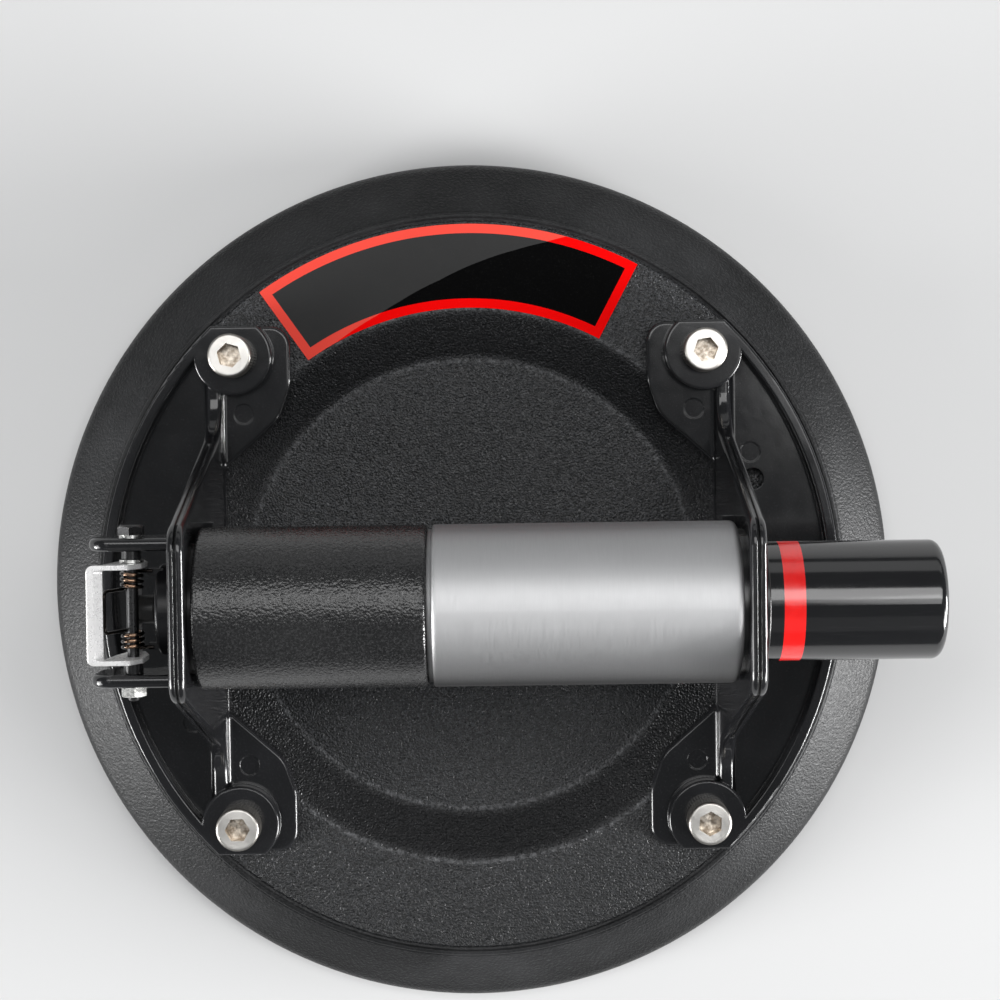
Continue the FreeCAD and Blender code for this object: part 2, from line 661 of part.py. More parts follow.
    # drain hole in the pocket
    sk = new_sketch(b, label + "_drain", "XY_Plane", P.foot_floor_z)
    circle(sk, P.drain_x * s, P.drain_y, P.drain_rad)
    pocket(b, label + "_drain_cut", sk, P.foot_floor_z - low + 1.0)

    # shallow round marks of the mould's ejector pins
    sk = new_sketch(b, label + "_pin_marks", "XY_Plane", P.foot_floor_z)
    circle(sk, P.mark_lug_x, P.mark_lug_y, P.mark_rad)
    circle(sk, P.mark_lug_x, -P.mark_lug_y, P.mark_rad)
    circle(sk, P.mark_pocket_x, P.mark_pocket_y, P.mark_rad)
    pocket(b, label + "_pin_mark_cut", sk, P.mark_deep)

    # screw holes, with room for the steel limiters
    sk = new_sketch(b, label + "_screw_holes", "XY_Plane", P.foot_top_z)
    for sy in (1, -1):
        circle(sk, P.screw_x * s, P.screw_y * sy, P.limiter_rad + 0.02)
    pocket(b, label + "_screw_hole_cut", sk, P.foot_top_z - low + 1.0)
    return b


right = bracket("right_bracket")
left = bracket("left_bracket")
left.Placement = FreeCAD.Placement(V(0, 0, 0), FreeCAD.Rotation(V(0, 0, 1), 180))
web_out = P.web_in + P.web_thick

# right web: hole for the guide bush, with a recess for its flange
sk = new_sketch(right, "bush_hole", "YZ_Plane", P.web_in)
circle(sk, 0, P.axis_z, P.bush_neck_rad + 0.04)
pocket(right, "bush_hole_cut", sk, P.web_thick + 1.0, reverse=True)
sk = new_sketch(right, "bush_recess", "YZ_Plane", P.web_in - 0.5)
circle(sk, 0, P.axis_z, P.bush_flange_rad + 0.04)
pocket(right, "bush_recess_cut", sk,
       P.barrel_end + P.bush_flange_len - P.web_in + 0.5, reverse=True)

# left web: the ears that carry the lever's pivot (drawn in the bracket's own
# frame, in which its outer side is +X)
sk = new_sketch(left, "ears", "XZ_Plane")
outline(sk, [(P.web_in + 1.0, P.ear_root_z), (P.web_in + 1.0, P.ear_top_z),
             (-P.ear_end, P.ear_top_z), (-P.ear_end, P.ear_low_z),
             (web_out + 5.0, P.ear_low_z), (web_out + 0.2, P.ear_root_z)])
pad(left, "ear_pad", sk, P.ear_out * 2, mid=True)
sk = new_sketch(left, "ear_gap", "XZ_Plane")
outline(sk, [(web_out, P.ear_root_z - 1), (web_out, P.ear_top_z + 4),
             (-P.ear_end + 1, P.ear_top_z + 4), (-P.ear_end + 1, P.ear_root_z - 1)])
pocket(left, "ear_gap_cut", sk, P.ear_in * 2, mid=True)


def ear_corner(e):
    m = mid_of(e)
    return (isinstance(e.Curve, Part.Line) and near(abs(m.x), -P.ear_end.v)
            and (near(m.z, P.ear_top_z.v) or near(m.z, P.ear_low_z.v))
            and abs(e.tangentAt(e.FirstParameter).y) > 0.99)


round_edges(left, "ear_round", Q(4.5, "4.5"), ear_corner)


def ear_rim(e):
    m = mid_of(e)
    t = e.tangentAt((e.FirstParameter + e.LastParameter) / 2)
    return (abs(m.x) > web_out.v + 3.5 and abs(t.y) < 0.01
            and (near(abs(m.y), P.ear_in.v) or near(abs(m.y), P.ear_out.v)))


round_edges(left, "ear_soft", Q(1.15, "1.15"), ear_rim)

# left web: air duct column, from the foot up to the vent housing
sk = new_sketch(left, "duct", "XY_Plane", P.foot_floor_z - 1.0)
outline(sk, [(web_out - 1.0, P.duct_half), (web_out - 1.0, -P.duct_half),
             (-P.duct_out - 1.0, -P.duct_half), (-P.duct_out, -P.duct_half + 1.0),
             (-P.duct_out, P.duct_half - 1.0), (-P.duct_out - 1.0, P.duct_half)])
pad(left, "duct_pad", sk, P.axis_z - P.vent_rad - P.foot_floor_z + 1.0 + 2.0)
# the seat that the round vent housing lies in
sk = new_sketch(left, "vent_seat", "YZ_Plane", web_out)
circle(sk, 0, P.axis_z, P.vent_rad + 0.03)
pocket(left, "vent_seat_cut", sk, 8.0, reverse=True)
sk = new_sketch(left, "nose_hole", "YZ_Plane", web_out)
circle(sk, 0, P.axis_z, P.nose_rad + 0.04)
pocket(left, "nose_hole_cut", sk, P.web_thick + 1.0)
sk = new_sketch(left, "duct_bore", "XY_Plane", P.plate_top)
circle(sk, -P.duct_x, 0, P.duct_rad)
pocket(left, "duct_bore_cut", sk, P.axis_z - P.plate_top, reverse=True)


def obround(sk, half, sign):
    """Slot outline from the pad's port to the foot of the duct."""
    a, b = (P.port_x, P.duct_x) if sign > 0 else (-P.duct_x, -P.port_x)
    outline(sk, [(a, half), (a, -half), (b, -half), (b, half)],
            {0: (a, 0.0, half.v, True), 2: (b, 0.0, half.v, True)})


# slot under the foot that joins the pad's port to the duct, and its gasket
sk = new_sketch(left, "air_slot", "XY_Plane", P.plate_top)
obround(sk, P.slot_half, -1)
pocket(left, "air_slot_cut", sk, P.slot_deep, reverse=True)
sk = new_sketch(left, "gasket_groove", "XY_Plane", P.plate_top)
obround(sk, P.gasket_in, -1)
obround(sk, P.gasket_out, -1)
pocket(left, "gasket_groove_cut", sk, P.gasket_high, reverse=True)

# pivot hole through the ears
sk = new_sketch(left, "pivot_hole", "XZ_Plane")
circle(sk, -P.pivot_x, P.pivot_z, P.pin_rad + 0.02)
pocket(left, "pivot_hole_cut", sk, P.ear_out * 2 + 4, mid=True)

gasket = new_body("foot_gasket")
sk = new_sketch(gasket, "gasket_outline", "XY_Plane", P.plate_top)
obround(sk, P.gasket_in + 0.05, 1)
obround(sk, P.gasket_out - 0.05, 1)
pad(gasket, "gasket_pad", sk, P.gasket_high)

# ---------------------------------------------------------------------------
# Label: a thin arc-shaped plate with a bare field
# ---------------------------------------------------------------------------
label = new_body("label_plate")
sk = new_sketch(label, "label_outline", "XY_Plane", P.plate_top)
a0, a1 = math.radians(P.label_from_deg.v), math.radians(P.label_to_deg.v)
ex0 = "cos(dims.label_from_deg * 1deg)"
ey0 = "sin(dims.label_from_deg * 1deg)"
ex1 = "cos(dims.label_to_deg * 1deg)"
ey1 = "sin(dims.label_to_deg * 1deg)"
c0, s0 = Q(math.cos(a0), ex0), Q(math.sin(a0), ey0)
c1, s1 = Q(math.cos(a1), ex1), Q(math.sin(a1), ey1)
outline(sk, [(P.label_out * c0, P.label_out * s0), (P.label_out * c1, float(P.label_out.v * s1.v)),
             (P.label_in * c1, P.label_in * s1), (P.label_in * c0, float(P.label_in.v * s0.v))],
        {0: (ZERO, ZERO, P.label_out.v, True), 2: (ZERO, ZERO, P.label_in.v, False)})
pad(label, "label_pad", sk, P.label_thick)

# ---------------------------------------------------------------------------
# Handle: steel barrel and the grip over its turned-down half
# ---------------------------------------------------------------------------
barrel = turned("pump_barrel", [
    (-P.barrel_end, P.bore_rad), (P.barrel_end, P.bore_rad),
    (P.barrel_end, P.barrel_rad), (P.steel_from, P.barrel_rad),
    (P.steel_from, P.steel_lip_rad), (P.steel_lip_from, P.steel_lip_rad),
    (P.steel_lip_from, P.barrel_thin_rad), (-P.barrel_end, P.barrel_thin_rad)])
round_edges(barrel, "barrel_round", Q(1.4, "1.4"),
            lambda e: is_circle(e, P.barrel_rad.v) and near(mid_of(e).x, P.barrel_end.v))
round_edges(barrel, "barrel_ease", Q(0.35, "0.35"),
            lambda e: is_circle(e, P.barrel_rad.v) and near(mid_of(e).x, P.steel_from.v))

grip = turned("grip_sleeve", [
    (P.grip_from, P.barrel_thin_rad + 0.05), (P.grip_to, P.barrel_thin_rad + 0.05),
    (P.grip_to, P.grip_rad), (P.grip_from, P.grip_rad)])
round_edges(grip, "grip_round", Q(0.7, "0.7"),
            lambda e: is_circle(e, P.grip_rad.v))

# ---------------------------------------------------------------------------
# Valve head, with the check valve in it
# ---------------------------------------------------------------------------
head = turned("valve_head", [
    (P.nose_end, P.air_rad), (P.seat_x, P.air_rad), (P.seat_x, P.pocket_rad),
    (P.head_face, P.pocket_rad), (P.head_face, P.head_rad),
    (P.ring_groove_to, P.head_rad), (P.ring_groove_to, P.ring_groove_rad),
    (P.ring_groove_from, P.ring_groove_rad), (P.ring_groove_from, P.head_rad),
    (-P.web_in, P.head_rad), (-P.web_in, P.nose_rad),
    (P.nose_end, P.nose_rad)])
round_edges(head, "head_ease", Q(0.5, "0.5"),
            lambda e: is_circle(e, P.head_rad.v) and near(mid_of(e).x, P.head_face.v),
            "Chamfer")

oring = new_body("head_seal_ring", z=P.axis_z)
sk = new_sketch(oring, "ring_section", "XZ_Plane")
circle(sk, (P.ring_groove_from + P.ring_groove_to) / 2, P.ring_mid, P.ring_wire)
revolve(oring, "ring_turn", sk, "H_Axis")

poppet = turned("check_poppet", [
    (P.poppet_from, ZERO), (P.stem_end, ZERO), (P.stem_end, P.stem_rad),
    (P.poppet_to, P.stem_rad), (P.poppet_to, P.poppet_rad),
    (P.poppet_from, P.poppet_rad)])
round_edges(poppet, "poppet_round", Q(0.4, "0.4"),
            lambda e: is_circle(e, P.poppet_rad.v) and near(mid_of(e).x, P.poppet_to.v))

cage = turned("check_cage", [
    (P.cage_from, P.cage_hole), (P.cage_to, P.cage_hole), (P.cage_to, P.cage_rad),
    (P.cage_from, P.cage_rad)])
sk = new_sketch(cage, "cage_ports", "YZ_Plane", P.cage_to)
for k in range(4):
    a = math.radians(90 * k)
    circle(sk, P.cage_port_pcr * round(math.cos(a)), P.cage_port_pcr * round(math.sin(a)),
           P.cage_port_rad)
pocket(cage, "cage_port_cut", sk, P.cage_to - P.cage_from + 1.0)


# ---------------------------------------------------------------------------
# Coil springs along the handle's axis, swept along a helix
# ---------------------------------------------------------------------------
def coil_spring(label, x0, x1, mean, wire, turns):
    """Helix with closed, flat end turns between the two seats."""
    a, b, r, w, n = x0.v, x1.v, mean.v, wire.v, turns.v
    length = b - a - 2 * w
    dead = 0.75
    live = n - 2 * dead
    closed = 2 * w * 1.04 * dead
    pts = []
    steps = int(24 * n)
    for i in range(steps + 1):
        u = n * i / steps
        if u < dead:
            x = closed * u / dead
        elif u > n - dead:
            x = length - closed * (n - u) / dead
        else:
            q = (u - dead) / live
            x = closed + (length - 2 * closed) * q
        ang = 2 * math.pi * u
        pts.append(V(a + w + x, r * math.cos(ang), r * math.sin(ang)))
    curve = Part.BSplineCurve()
    curve.interpolate(pts)
    path = Part.Wire([curve.toShape()])
    t = curve.tangent(curve.FirstParameter)[0]
    ring = Part.Wire([Part.Circle(pts[0], t, w).toShape()])
    solid = path.makePipeShell([ring], True, True)
    if solid.ShapeType != "Solid":
        solid = Part.Solid(solid.Shells[0])
    if solid.Volume < 0:
        solid.reverse()
    f = doc.addObject("Part::Feature", label)
    f.Label = label
    f.Shape = solid
    f.Placement = FreeCAD.Placement(V(0, 0, P.axis_z.v), FreeCAD.Rotation())
    f.setExpression("Placement.Base.z", P.axis_z.e)
    want = math.pi * w * w * path.Length
    print(label, "volume", round(solid.Volume, 2), "wire section x length",
          round(want, 2))
    SUBPARTS.append(f)
    return f


check_spring = coil_spring("check_spring", P.poppet_to + 0.02, P.cage_from - 0.02,
                           P.small_spring_rad, P.small_spring_wire,
                           P.small_spring_turns)

# ---------------------------------------------------------------------------
# Vent housing on the outer face of the left web
# ---------------------------------------------------------------------------
vent = turned("vent_housing", [
    (-web_out, P.nose_rad + 0.04), (-web_out, P.vent_rad), (P.vent_to, P.vent_rad),
    (P.vent_to, P.vent_nozzle_rad + 0.9), (P.vent_nozzle_to, P.vent_nozzle_rad),
    (P.vent_nozzle_to, P.vent_hole), (P.vent_chamber_to, P.vent_hole),
    (P.vent_chamber_to, P.vent_chamber_rad), (P.nose_end, P.vent_chamber_rad),
    (P.nose_end, P.nose_rad + 0.04)])
round_edges(vent, "vent_round", Q(0.9, "0.9"),
            lambda e: is_circle(e, P.vent_rad.v) and near(mid_of(e).x, P.vent_to.v))
# air port from the duct into the chamber
sk = new_sketch(vent, "vent_port", "XY_Plane", -P.vent_rad - 1.0)
circle(sk, P.duct_x, 0, P.duct_rad - 0.5)
pocket(vent, "vent_port_cut", sk, P.vent_rad - P.vent_chamber_rad + 1.6, reverse=True)
# two small rests for the legs of the lever's spring
sk = new_sketch(vent, "spring_rests", "YZ_Plane", P.rest_to)
for sy in (1, -1):
    shift = P.rest_shift if sy < 0 else Q.of(0.0)
    lo = P.rest_y_in * sy + shift
    hi = P.rest_y_out * sy + shift
    outline(sk, [(lo, P.rest_low), (hi, P.rest_low), (hi, P.rest_high),
                 (lo, P.rest_high)])
pad(vent, "spring_rest_pad", sk, P.vent_to - P.rest_to + 1.4)

# ---------------------------------------------------------------------------
# Guide bush and wiper in the right end of the barrel
# ---------------------------------------------------------------------------
bush = turned("guide_bush", [
    (P.bush_from, P.bush_bore), (P.wiper_from, P.bush_bore),
    (P.wiper_from, P.wiper_groove_rad), (P.wiper_to, P.wiper_groove_rad),
    (P.wiper_to, P.bush_bore), (P.bush_to, P.bush_bore),
    (P.bush_to, P.bush_neck_rad), (P.barrel_end + P.bush_flange_len, P.bush_neck_rad),
    (P.barrel_end + P.bush_flange_len, P.bush_flange_rad),
    (P.barrel_end + 0.02, P.bush_flange_rad), (P.barrel_end + 0.02, P.bush_rad),
    (P.bush_from, P.bush_rad)])
round_edges(bush, "bush_round", Q(0.35, "0.35"),
            lambda e: is_circle(e, P.bush_neck_rad.v) and near(mid_of(e).x, P.bush_to.v))
wiper = turned("wiper_ring", [
    (P.wiper_from + 0.02, P.wiper_bore + 0.15), (P.wiper_to - 0.5, P.wiper_bore),
    (P.wiper_to - 0.02, P.wiper_bore + 0.05), (P.wiper_to - 0.02, P.wiper_groove_rad),
    (P.wiper_from + 0.02, P.wiper_groove_rad)])

# ---------------------------------------------------------------------------
# Plunger with its indicator band, piston, cup seal and stop ring
# ---------------------------------------------------------------------------
plunger = turned("plunger_tube", [
    (P.plunger_from, P.plunger_bore), (P.plunger_end - P.plunger_wall, P.plunger_bore),
    (P.plunger_end - P.plunger_wall, ZERO), (P.plunger_end, ZERO),
    (P.plunger_end, P.plunger_rad), (P.band_to, P.plunger_rad),
    (P.band_to, P.band_floor), (P.band_from, P.band_floor),
    (P.band_from, P.plunger_rad), (P.clip_to + 0.02, P.plunger_rad),
    (P.clip_to + 0.02, P.clip_groove_rad), (P.clip_from - 0.02, P.clip_groove_rad),
    (P.clip_from - 0.02, P.plunger_rad), (P.plunger_from, P.plunger_rad)])
round_edges(plunger, "plunger_end_round", P.plunger_round,
            lambda e: is_circle(e, P.plunger_rad.v) and near(mid_of(e).x, P.plunger_end.v))
round_edges(plunger, "plunger_inner_round", Q(2.0, "2"),
            lambda e: is_circle(e, P.plunger_bore.v)
            and near(mid_of(e).x, P.plunger_end.v - P.plunger_wall.v))
band = turned("indicator_band", [
    (P.band_from, P.band_floor), (P.band_to, P.band_floor),
    (P.band_to, P.plunger_rad), (P.band_from, P.plunger_rad)])
clip = turned("stop_ring", [
    (P.clip_from, P.clip_groove_rad + 0.03), (P.clip_to, P.clip_groove_rad + 0.03),
    (P.clip_to, P.clip_rad), (P.clip_from, P.clip_rad)])
sk = new_sketch(clip, "clip_gap", "XY_Plane", P.clip_groove_rad - 0.5)
outline(sk, [(P.clip_from - 1, Q.of(2.2)), (P.clip_from - 1, Q.of(-2.2)),
             (P.clip_to + 1, Q.of(-2.2)), (P.clip_to + 1, Q.of(2.2))])
pocket(clip, "clip_gap_cut", sk, 4.0, reverse=True)
piston = turned("piston", [
    (P.piston_from, ZERO), (P.piston_spigot_to, ZERO),
    (P.piston_spigot_to, P.piston_spigot_rad), (P.plunger_from, P.piston_spigot_rad),
    (P.plunger_from, P.piston_rad), (P.cup_to, P.piston_rad),
    (P.cup_to, P.cup_groove_rad), (P.cup_from, P.cup_groove_rad),
    (P.cup_from, P.piston_rad), (P.piston_from, P.piston_rad)])
round_edges(piston, "piston_ease", Q(0.5, "0.5"),
            lambda e: is_circle(e, P.piston_rad.v) and near(mid_of(e).x, P.piston_from.v),
            "Chamfer")
cup = turned("piston_cup", [
    (P.cup_from + 0.05, P.cup_groove_rad + 0.02), (P.cup_to - 0.05, P.cup_groove_rad + 0.02),
    (P.cup_to - 0.05, P.cup_groove_rad + 1.0), (P.cup_from + 1.6, P.cup_groove_rad + 1.2),
    (P.cup_to - 0.3, P.cup_rad), (P.cup_from + 0.05, P.cup_rad - 0.3)])
return_spring = coil_spring("return_spring", P.head_face + 0.02, P.piston_from - 0.02,
                            P.spring_rad, P.spring_wire, P.spring_turns)

# ---------------------------------------------------------------------------
# Release lever: bent sheet channel turning on the pivot bolt
# ---------------------------------------------------------------------------
lever = new_body("release_lever", x=P.pivot_x, z=P.pivot_z)
sk = new_sketch(lever, "cheek_outline", "XZ_Plane")
bridge_to = P.bridge_from + P.lever_sheet
outline(sk, [(P.lever_out + P.lever_lean, P.lever_low), (P.lever_out, P.lever_top),
             (Q.of(0.2), P.lever_top), (Q.of(2.6), Q.of(3.5)),
             (Q.of(2.6), Q.of(-4.0)), (bridge_to + 0.6, P.bridge_low),
             (P.bridge_from - 1.4, P.bridge_low), (Q.of(-4.0), Q.of(-4.6))])
pad(lever, "cheek_pad", sk, P.lever_half * 2, mid=True)


def lever_corner(e):
    m = mid_of(e)
    lx, lz = m.x, m.z
    return (isinstance(e.Curve, Part.Line)
            and abs(e.tangentAt(e.FirstParameter).y) > 0.99
            and any(near(lx, x, 0.05) and near(lz, z, 0.05)
                    for x, z in ((0.2, 8.0), (2.6, 3.5), (2.6, -4.0), (-4.0, -4.6))))


round_edges(lever, "lever_round", Q(1.6, "1.6"), lever_corner)
fall = P.lever_lean / (P.lever_top - P.lever_low)


def inner_face(z):
    """X of the back plate's inner face, from the pivot, at a height."""
    return P.lever_out + P.lever_back + fall * (P.lever_top - z)


# the two outer corners, rounded as seen from above
sk = new_sketch(lever, "bend_outside", "XY_Plane", P.lever_top + 0.5)
for sy in (1, -1):
    near_y, edge_y, far_y = (P.lever_half - P.bend_rad) * sy, P.lever_half * sy, (P.lever_half + 1.0) * sy
    outline(sk, [(P.lever_out - 1.0, far_y), (P.lever_out - 1.0, near_y), (P.lever_out, near_y),
                 (P.lever_out + P.bend_rad, edge_y), (P.lever_out + P.bend_rad, far_y)],
            {2: ((P.lever_out + P.bend_rad).v, near_y.v, P.bend_rad.v, sy < 0)})
pocket(lever, "bend_outside_cut", sk, P.lever_top - P.lever_low + 3.0)
sk = new_sketch(lever, "channel_inside", "XZ_Plane")
# the back plate slopes down towards the pivot and ends square to its own face
steep = math.hypot(P.lever_lean.v, P.lever_top.v - P.lever_low.v)
face_x = (P.lever_top.v - P.lever_low.v) / steep
face_z = P.lever_lean.v / steep
back_thick = P.lever_back.v * face_x
outline(sk, [(inner_face(P.lever_top + 1.5), P.lever_top + 1.5),
             (Q.of(6.5), P.lever_top + 1.5),
             (Q.of(6.5), P.bridge_low - 1.5), (bridge_to, P.bridge_low - 1.5),
             (bridge_to, P.bridge_top), (P.bridge_from, P.bridge_top),
             (P.bridge_from, P.bridge_low - 1.5),
             (P.lever_out - 1.5, P.bridge_low - 1.5), (P.lever_out - 1.5, P.lever_low),
             (P.lever_out + P.lever_lean, P.lever_low),
             (P.lever_out + P.lever_lean + back_thick * face_x, P.lever_low + back_thick * face_z)])
pocket(lever, "channel_cut", sk, P.lever_half * 2 - P.lever_sheet * 2, mid=True)


def bend_in(e):
    m = mid_of(e)
    return (isinstance(e.Curve, Part.Line) and near(m.x, inner_face(Q.of(m.z)).v)
            and near(abs(m.y), P.lever_half.v - P.lever_sheet.v)
            and abs(e.tangentAt(e.FirstParameter).z) > 0.3)


round_edges(lever, "bend_inside", Q(0.6, "0.6"), bend_in)
sk = new_sketch(lever, "lever_pivot", "XZ_Plane")
circle(sk, 0, 0, P.pin_rad + P.pin_gap)
pocket(lever, "lever_pivot_cut", sk, P.lever_half * 2 + 2, mid=True)
sk = new_sketch(lever, "plug_hole", "YZ_Plane", P.bridge_from - 0.5)
circle(sk, 0, P.plug_z, P.plug_stem + 0.03)
pocket(lever, "plug_hole_cut", sk, P.lever_sheet + 1.0, reverse=True)

plug = new_body("vent_plug", x=P.pivot_x, z=P.pivot_z + P.plug_z)
sk = new_sketch(plug, "plug_profile", "XZ_Plane")
outline(sk, [(P.bridge_from - 1.1, ZERO), (P.plug_to, ZERO), (P.plug_to, P.plug_rad - 0.3),
             (P.plug_to - 0.3, P.plug_rad), (bridge_to + 0.02, P.plug_rad),
             (bridge_to + 0.02, P.plug_stem), (P.bridge_from - 0.02, P.plug_stem),
             (P.bridge_from - 0.02, P.plug_bulb), (P.bridge_from - 0.5, P.plug_bulb),
             (P.bridge_from - 1.1, P.plug_bulb - 0.8)])
revolve(plug, "plug_turn", sk, "H_Axis")


# pivot hardware, laid out along Y
def y_ring(label, spans, r_out, r_in):
    """Rings round the pivot: spans are (from, to) along Y."""
    b = new_body(label, x=P.pivot_x, z=P.pivot_z)
    for k, (a, c) in enumerate(spans):
        # the XZ plane faces -Y, so its offset is the other way round
        sk = new_sketch(b, "%s_%d" % (label, k), "XZ_Plane", -a)
        circle(sk, 0, 0, r_out)
        circle(sk, 0, 0, r_in)
        pad(b, "%s_pad_%d" % (label, k), sk, c - a, reverse=True)
    return b


gap = P.pin_rad + 0.05
y_ring("pivot_washers", [(P.ear_out, P.ear_out + P.washer_thick),
                         (P.lever_half + 0.1, P.lever_half + 0.1 + P.washer_thick)],
       P.washer_rad, gap)
y_ring("pivot_bushings", [(P.lever_half + 0.12 + P.washer_thick, P.ear_in - 0.02),
                          (-P.ear_in + 0.02, -P.lever_half - 0.1)],
       P.bushing_rad, gap)

bolt = new_body("pivot_bolt", x=P.pivot_x, z=P.pivot_z)
head_y = P.ear_out + P.washer_thick
sk = new_sketch(bolt, "bolt_shank", "XZ_Plane", P.ear_out + P.nut_len + 0.9)
circle(sk, 0, 0, P.pin_rad)
pad(bolt, "bolt_shank_pad", sk, P.ear_out * 2 + P.washer_thick + P.nut_len + 0.9,
    reverse=True)
sk = new_sketch(bolt, "bolt_head", "XZ_Plane", -head_y)
hexagon(sk, 0, 0, P.bolt_af, 30.0)
pad(bolt, "bolt_head_pad", sk, P.bolt_head_len, reverse=True)
round_edges(bolt, "bolt_tip", Q(0.4, "0.4"),
            lambda e: is_circle(e, P.pin_rad.v) and mid_of(e).y < -P.ear_out.v - 2,
            "Chamfer")
sk = new_sketch(bolt, "bolt_head_crown", "YZ_Plane")
top = head_y + P.bolt_head_len
outline(sk, [(top - 0.75, P.bolt_af / 2 + 0.7), (top + 0.3, P.bolt_af / 2 - 0.7),
             (top + 0.3, P.bolt_af / 2 + 0.7)])
groove(bolt, "bolt_head_bevel", sk, "H_Axis")

nut = new_body("pivot_nut", x=P.pivot_x, z=P.pivot_z)
sk = new_sketch(nut, "nut_outline", "XZ_Plane", P.ear_out)
hexagon(sk, 0, 0, P.bolt_af, 18.0)
circle(sk, 0, 0, P.pin_rad + P.thread_gap)
pad(nut, "nut_pad", sk, P.nut_len)
sk = new_sketch(nut, "nut_crown", "YZ_Plane")
low_y = -P.ear_out - P.nut_len
outline(sk, [(low_y + 0.6, P.bolt_af / 2 + 0.7), (low_y - 0.3, P.bolt_af / 2 - 0.55),
             (low_y - 0.3, P.bolt_af / 2 + 0.7)])
groove(nut, "nut_bevel", sk, "H_Axis")


# ---------------------------------------------------------------------------
# Torsion spring of the lever: two coils with a leg each, joined by a bow
# ---------------------------------------------------------------------------
def rounded(pts, r):
    """Wire of straight runs with every inside corner replaced by an arc."""
    edges = []
    prev = pts[0]
    for i in range(1, len(pts) - 1):
        a, b, c = pts[i - 1], pts[i], pts[i + 1]
        u = (a - b).normalize()
        w = (c - b).normalize()
        ang = u.getAngle(w)
        d = r / math.tan(ang / 2)
        p, q = b + u * d, b + w * d
        m = (u + w).normalize()
        ctr = b + m * (r / math.sin(ang / 2))
        midp = ctr - m * r
        edges.append(Part.LineSegment(prev, p).toShape())
        edges.append(Part.Arc(p, midp, q).toShape())
        prev = q
    edges.append(Part.LineSegment(prev, pts[-1]).toShape())
    return edges


def wire_solid(edges, w, start, direction):
    path = Part.Wire(edges)
    ring = Part.Wire([Part.Circle(start, direction, w).toShape()])
    solid = path.makePipeShell([ring], True, True)
    if solid.ShapeType != "Solid":
        solid = Part.Solid(solid.Shells[0])
    if solid.Volume < 0:
        solid.reverse()
    print("   spring wire volume", round(solid.Volume, 2), "section x length",
          round(math.pi * w * w * path.Length, 2))
    return solid


# the bow pushes on the end of the lever's back plate, which keeps the vent shut
tr, tw = P.torsion_rad.v, P.torsion_wire.v
tx = P.lever_out.v + P.lever_lean.v + back_thick * face_x / 2 + face_z * (tw + 0.06)
tz = P.lever_low.v + back_thick * face_z / 2 - face_x * (tw + 0.06)
tdist = math.hypot(tx, tz)
leave = math.degrees(math.atan2(tz, tx)) + math.degrees(math.acos(tr / tdist))
print("   bow leaves its coils at", round(leave, 1), "degrees")


def coil_solid(y_in, sign):
    """Coil from its leg on the outer side to the bow's arm at y_in."""
    turns = (270.0 - leave) / 360.0 + 3.0
    n = int(turns * 20)
    outer = y_in + sign * P.torsion_pitch.v * turns
    pts = []
    for i in range(n + 1):
        u = i / float(n)
        ang = math.radians(270.0 - 360.0 * turns * u)
        pts.append(V(tr * math.cos(ang), outer + (y_in - outer) * u, tr * math.sin(ang)))
    curve = Part.BSplineCurve()
    curve.interpolate(pts)
    start = curve.tangent(curve.FirstParameter)[0]
    coil = wire_solid([curve.toShape()], tw, pts[0], start)
    # the leg runs straight on from the coil's outer end
    leg = Part.makeCylinder(tw, 3.9 + 0.25, V(3.9, outer, -tr), V(-1, 0, 0))
    both = coil.fuse(leg)
    print("   coil with its leg", round(both.Volume, 2), "solids", len(both.Solids))
    return both.Solids[0], pts[-1]


solid_a, end_a = coil_solid(P.torsion_in_plus.v, 1)
solid_b, end_b = coil_solid(P.torsion_in_minus.v, -1)
tors = doc.addObject("Part::Feature", "torsion_spring")
tors.Label = "torsion_spring"
tors.Shape = Part.makeCompound([solid_a, solid_b])
tors.Placement = FreeCAD.Placement(V(P.pivot_x.v, 0, P.pivot_z.v), FreeCAD.Rotation())
tors.setExpression("Placement.Base.x", P.pivot_x.e)
tors.setExpression("Placement.Base.z", P.pivot_z.e)
SUBPARTS.append(tors)

step = V(math.sin(math.radians(leave)), 0, -math.cos(math.radians(leave)))
start_a = end_a + step * 0.06
start_b = end_b + step * 0.06
bow_pts = [start_a, V(tx, end_a.y, tz), V(tx, end_b.y, tz), start_b]
bow = doc.addObject("Part::Feature", "spring_bow")
bow.Label = "spring_bow"
bow.Shape = wire_solid(rounded(bow_pts, 1.2), tw, start_a, step)
bow.Placement = FreeCAD.Placement(V(P.pivot_x.v, 0, P.pivot_z.v), FreeCAD.Rotation())
bow.setExpression("Placement.Base.x", P.pivot_x.e)
bow.setExpression("Placement.Base.z", P.pivot_z.e)
SUBPARTS.append(bow)

# ---------------------------------------------------------------------------
# Check everything, then write one file per sub-part
# ---------------------------------------------------------------------------
doc.recompute()
bad = []
for o in doc.Objects:
    state = set(getattr(o, "State", []))
    if "Invalid" in state or "Error" in state:
        bad.append((o.Name, sorted(state)))
if bad:
    raise RuntimeError("objects in error: %s" % bad)
labels = set()
for b in SUBPARTS:
    shp = b.Shape
    if shp.isNull() or not shp.isValid() or not shp.Solids:
        raise RuntimeError("bad shape: " + b.Label)
    if b.Label in labels:
        raise RuntimeError("label used twice: " + b.Label)
    labels.add(b.Label)

os.makedirs("parts", exist_ok=True)
for b in SUBPARTS:
    b.Shape.exportStep(os.path.join("parts", b.Label + ".step"))
    bb = b.Shape.BoundBox
    print("%-18s solids %d  volume %10.2f  x %7.2f..%7.2f  y %7.2f..%7.2f  z %6.2f..%6.2f"
          % (b.Label, len(b.Shape.Solids), b.Shape.Volume, bb.XMin, bb.XMax,
             bb.YMin, bb.YMax, bb.ZMin, bb.ZMax))
print("sub-parts:", len(SUBPARTS))
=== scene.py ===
import json
import math

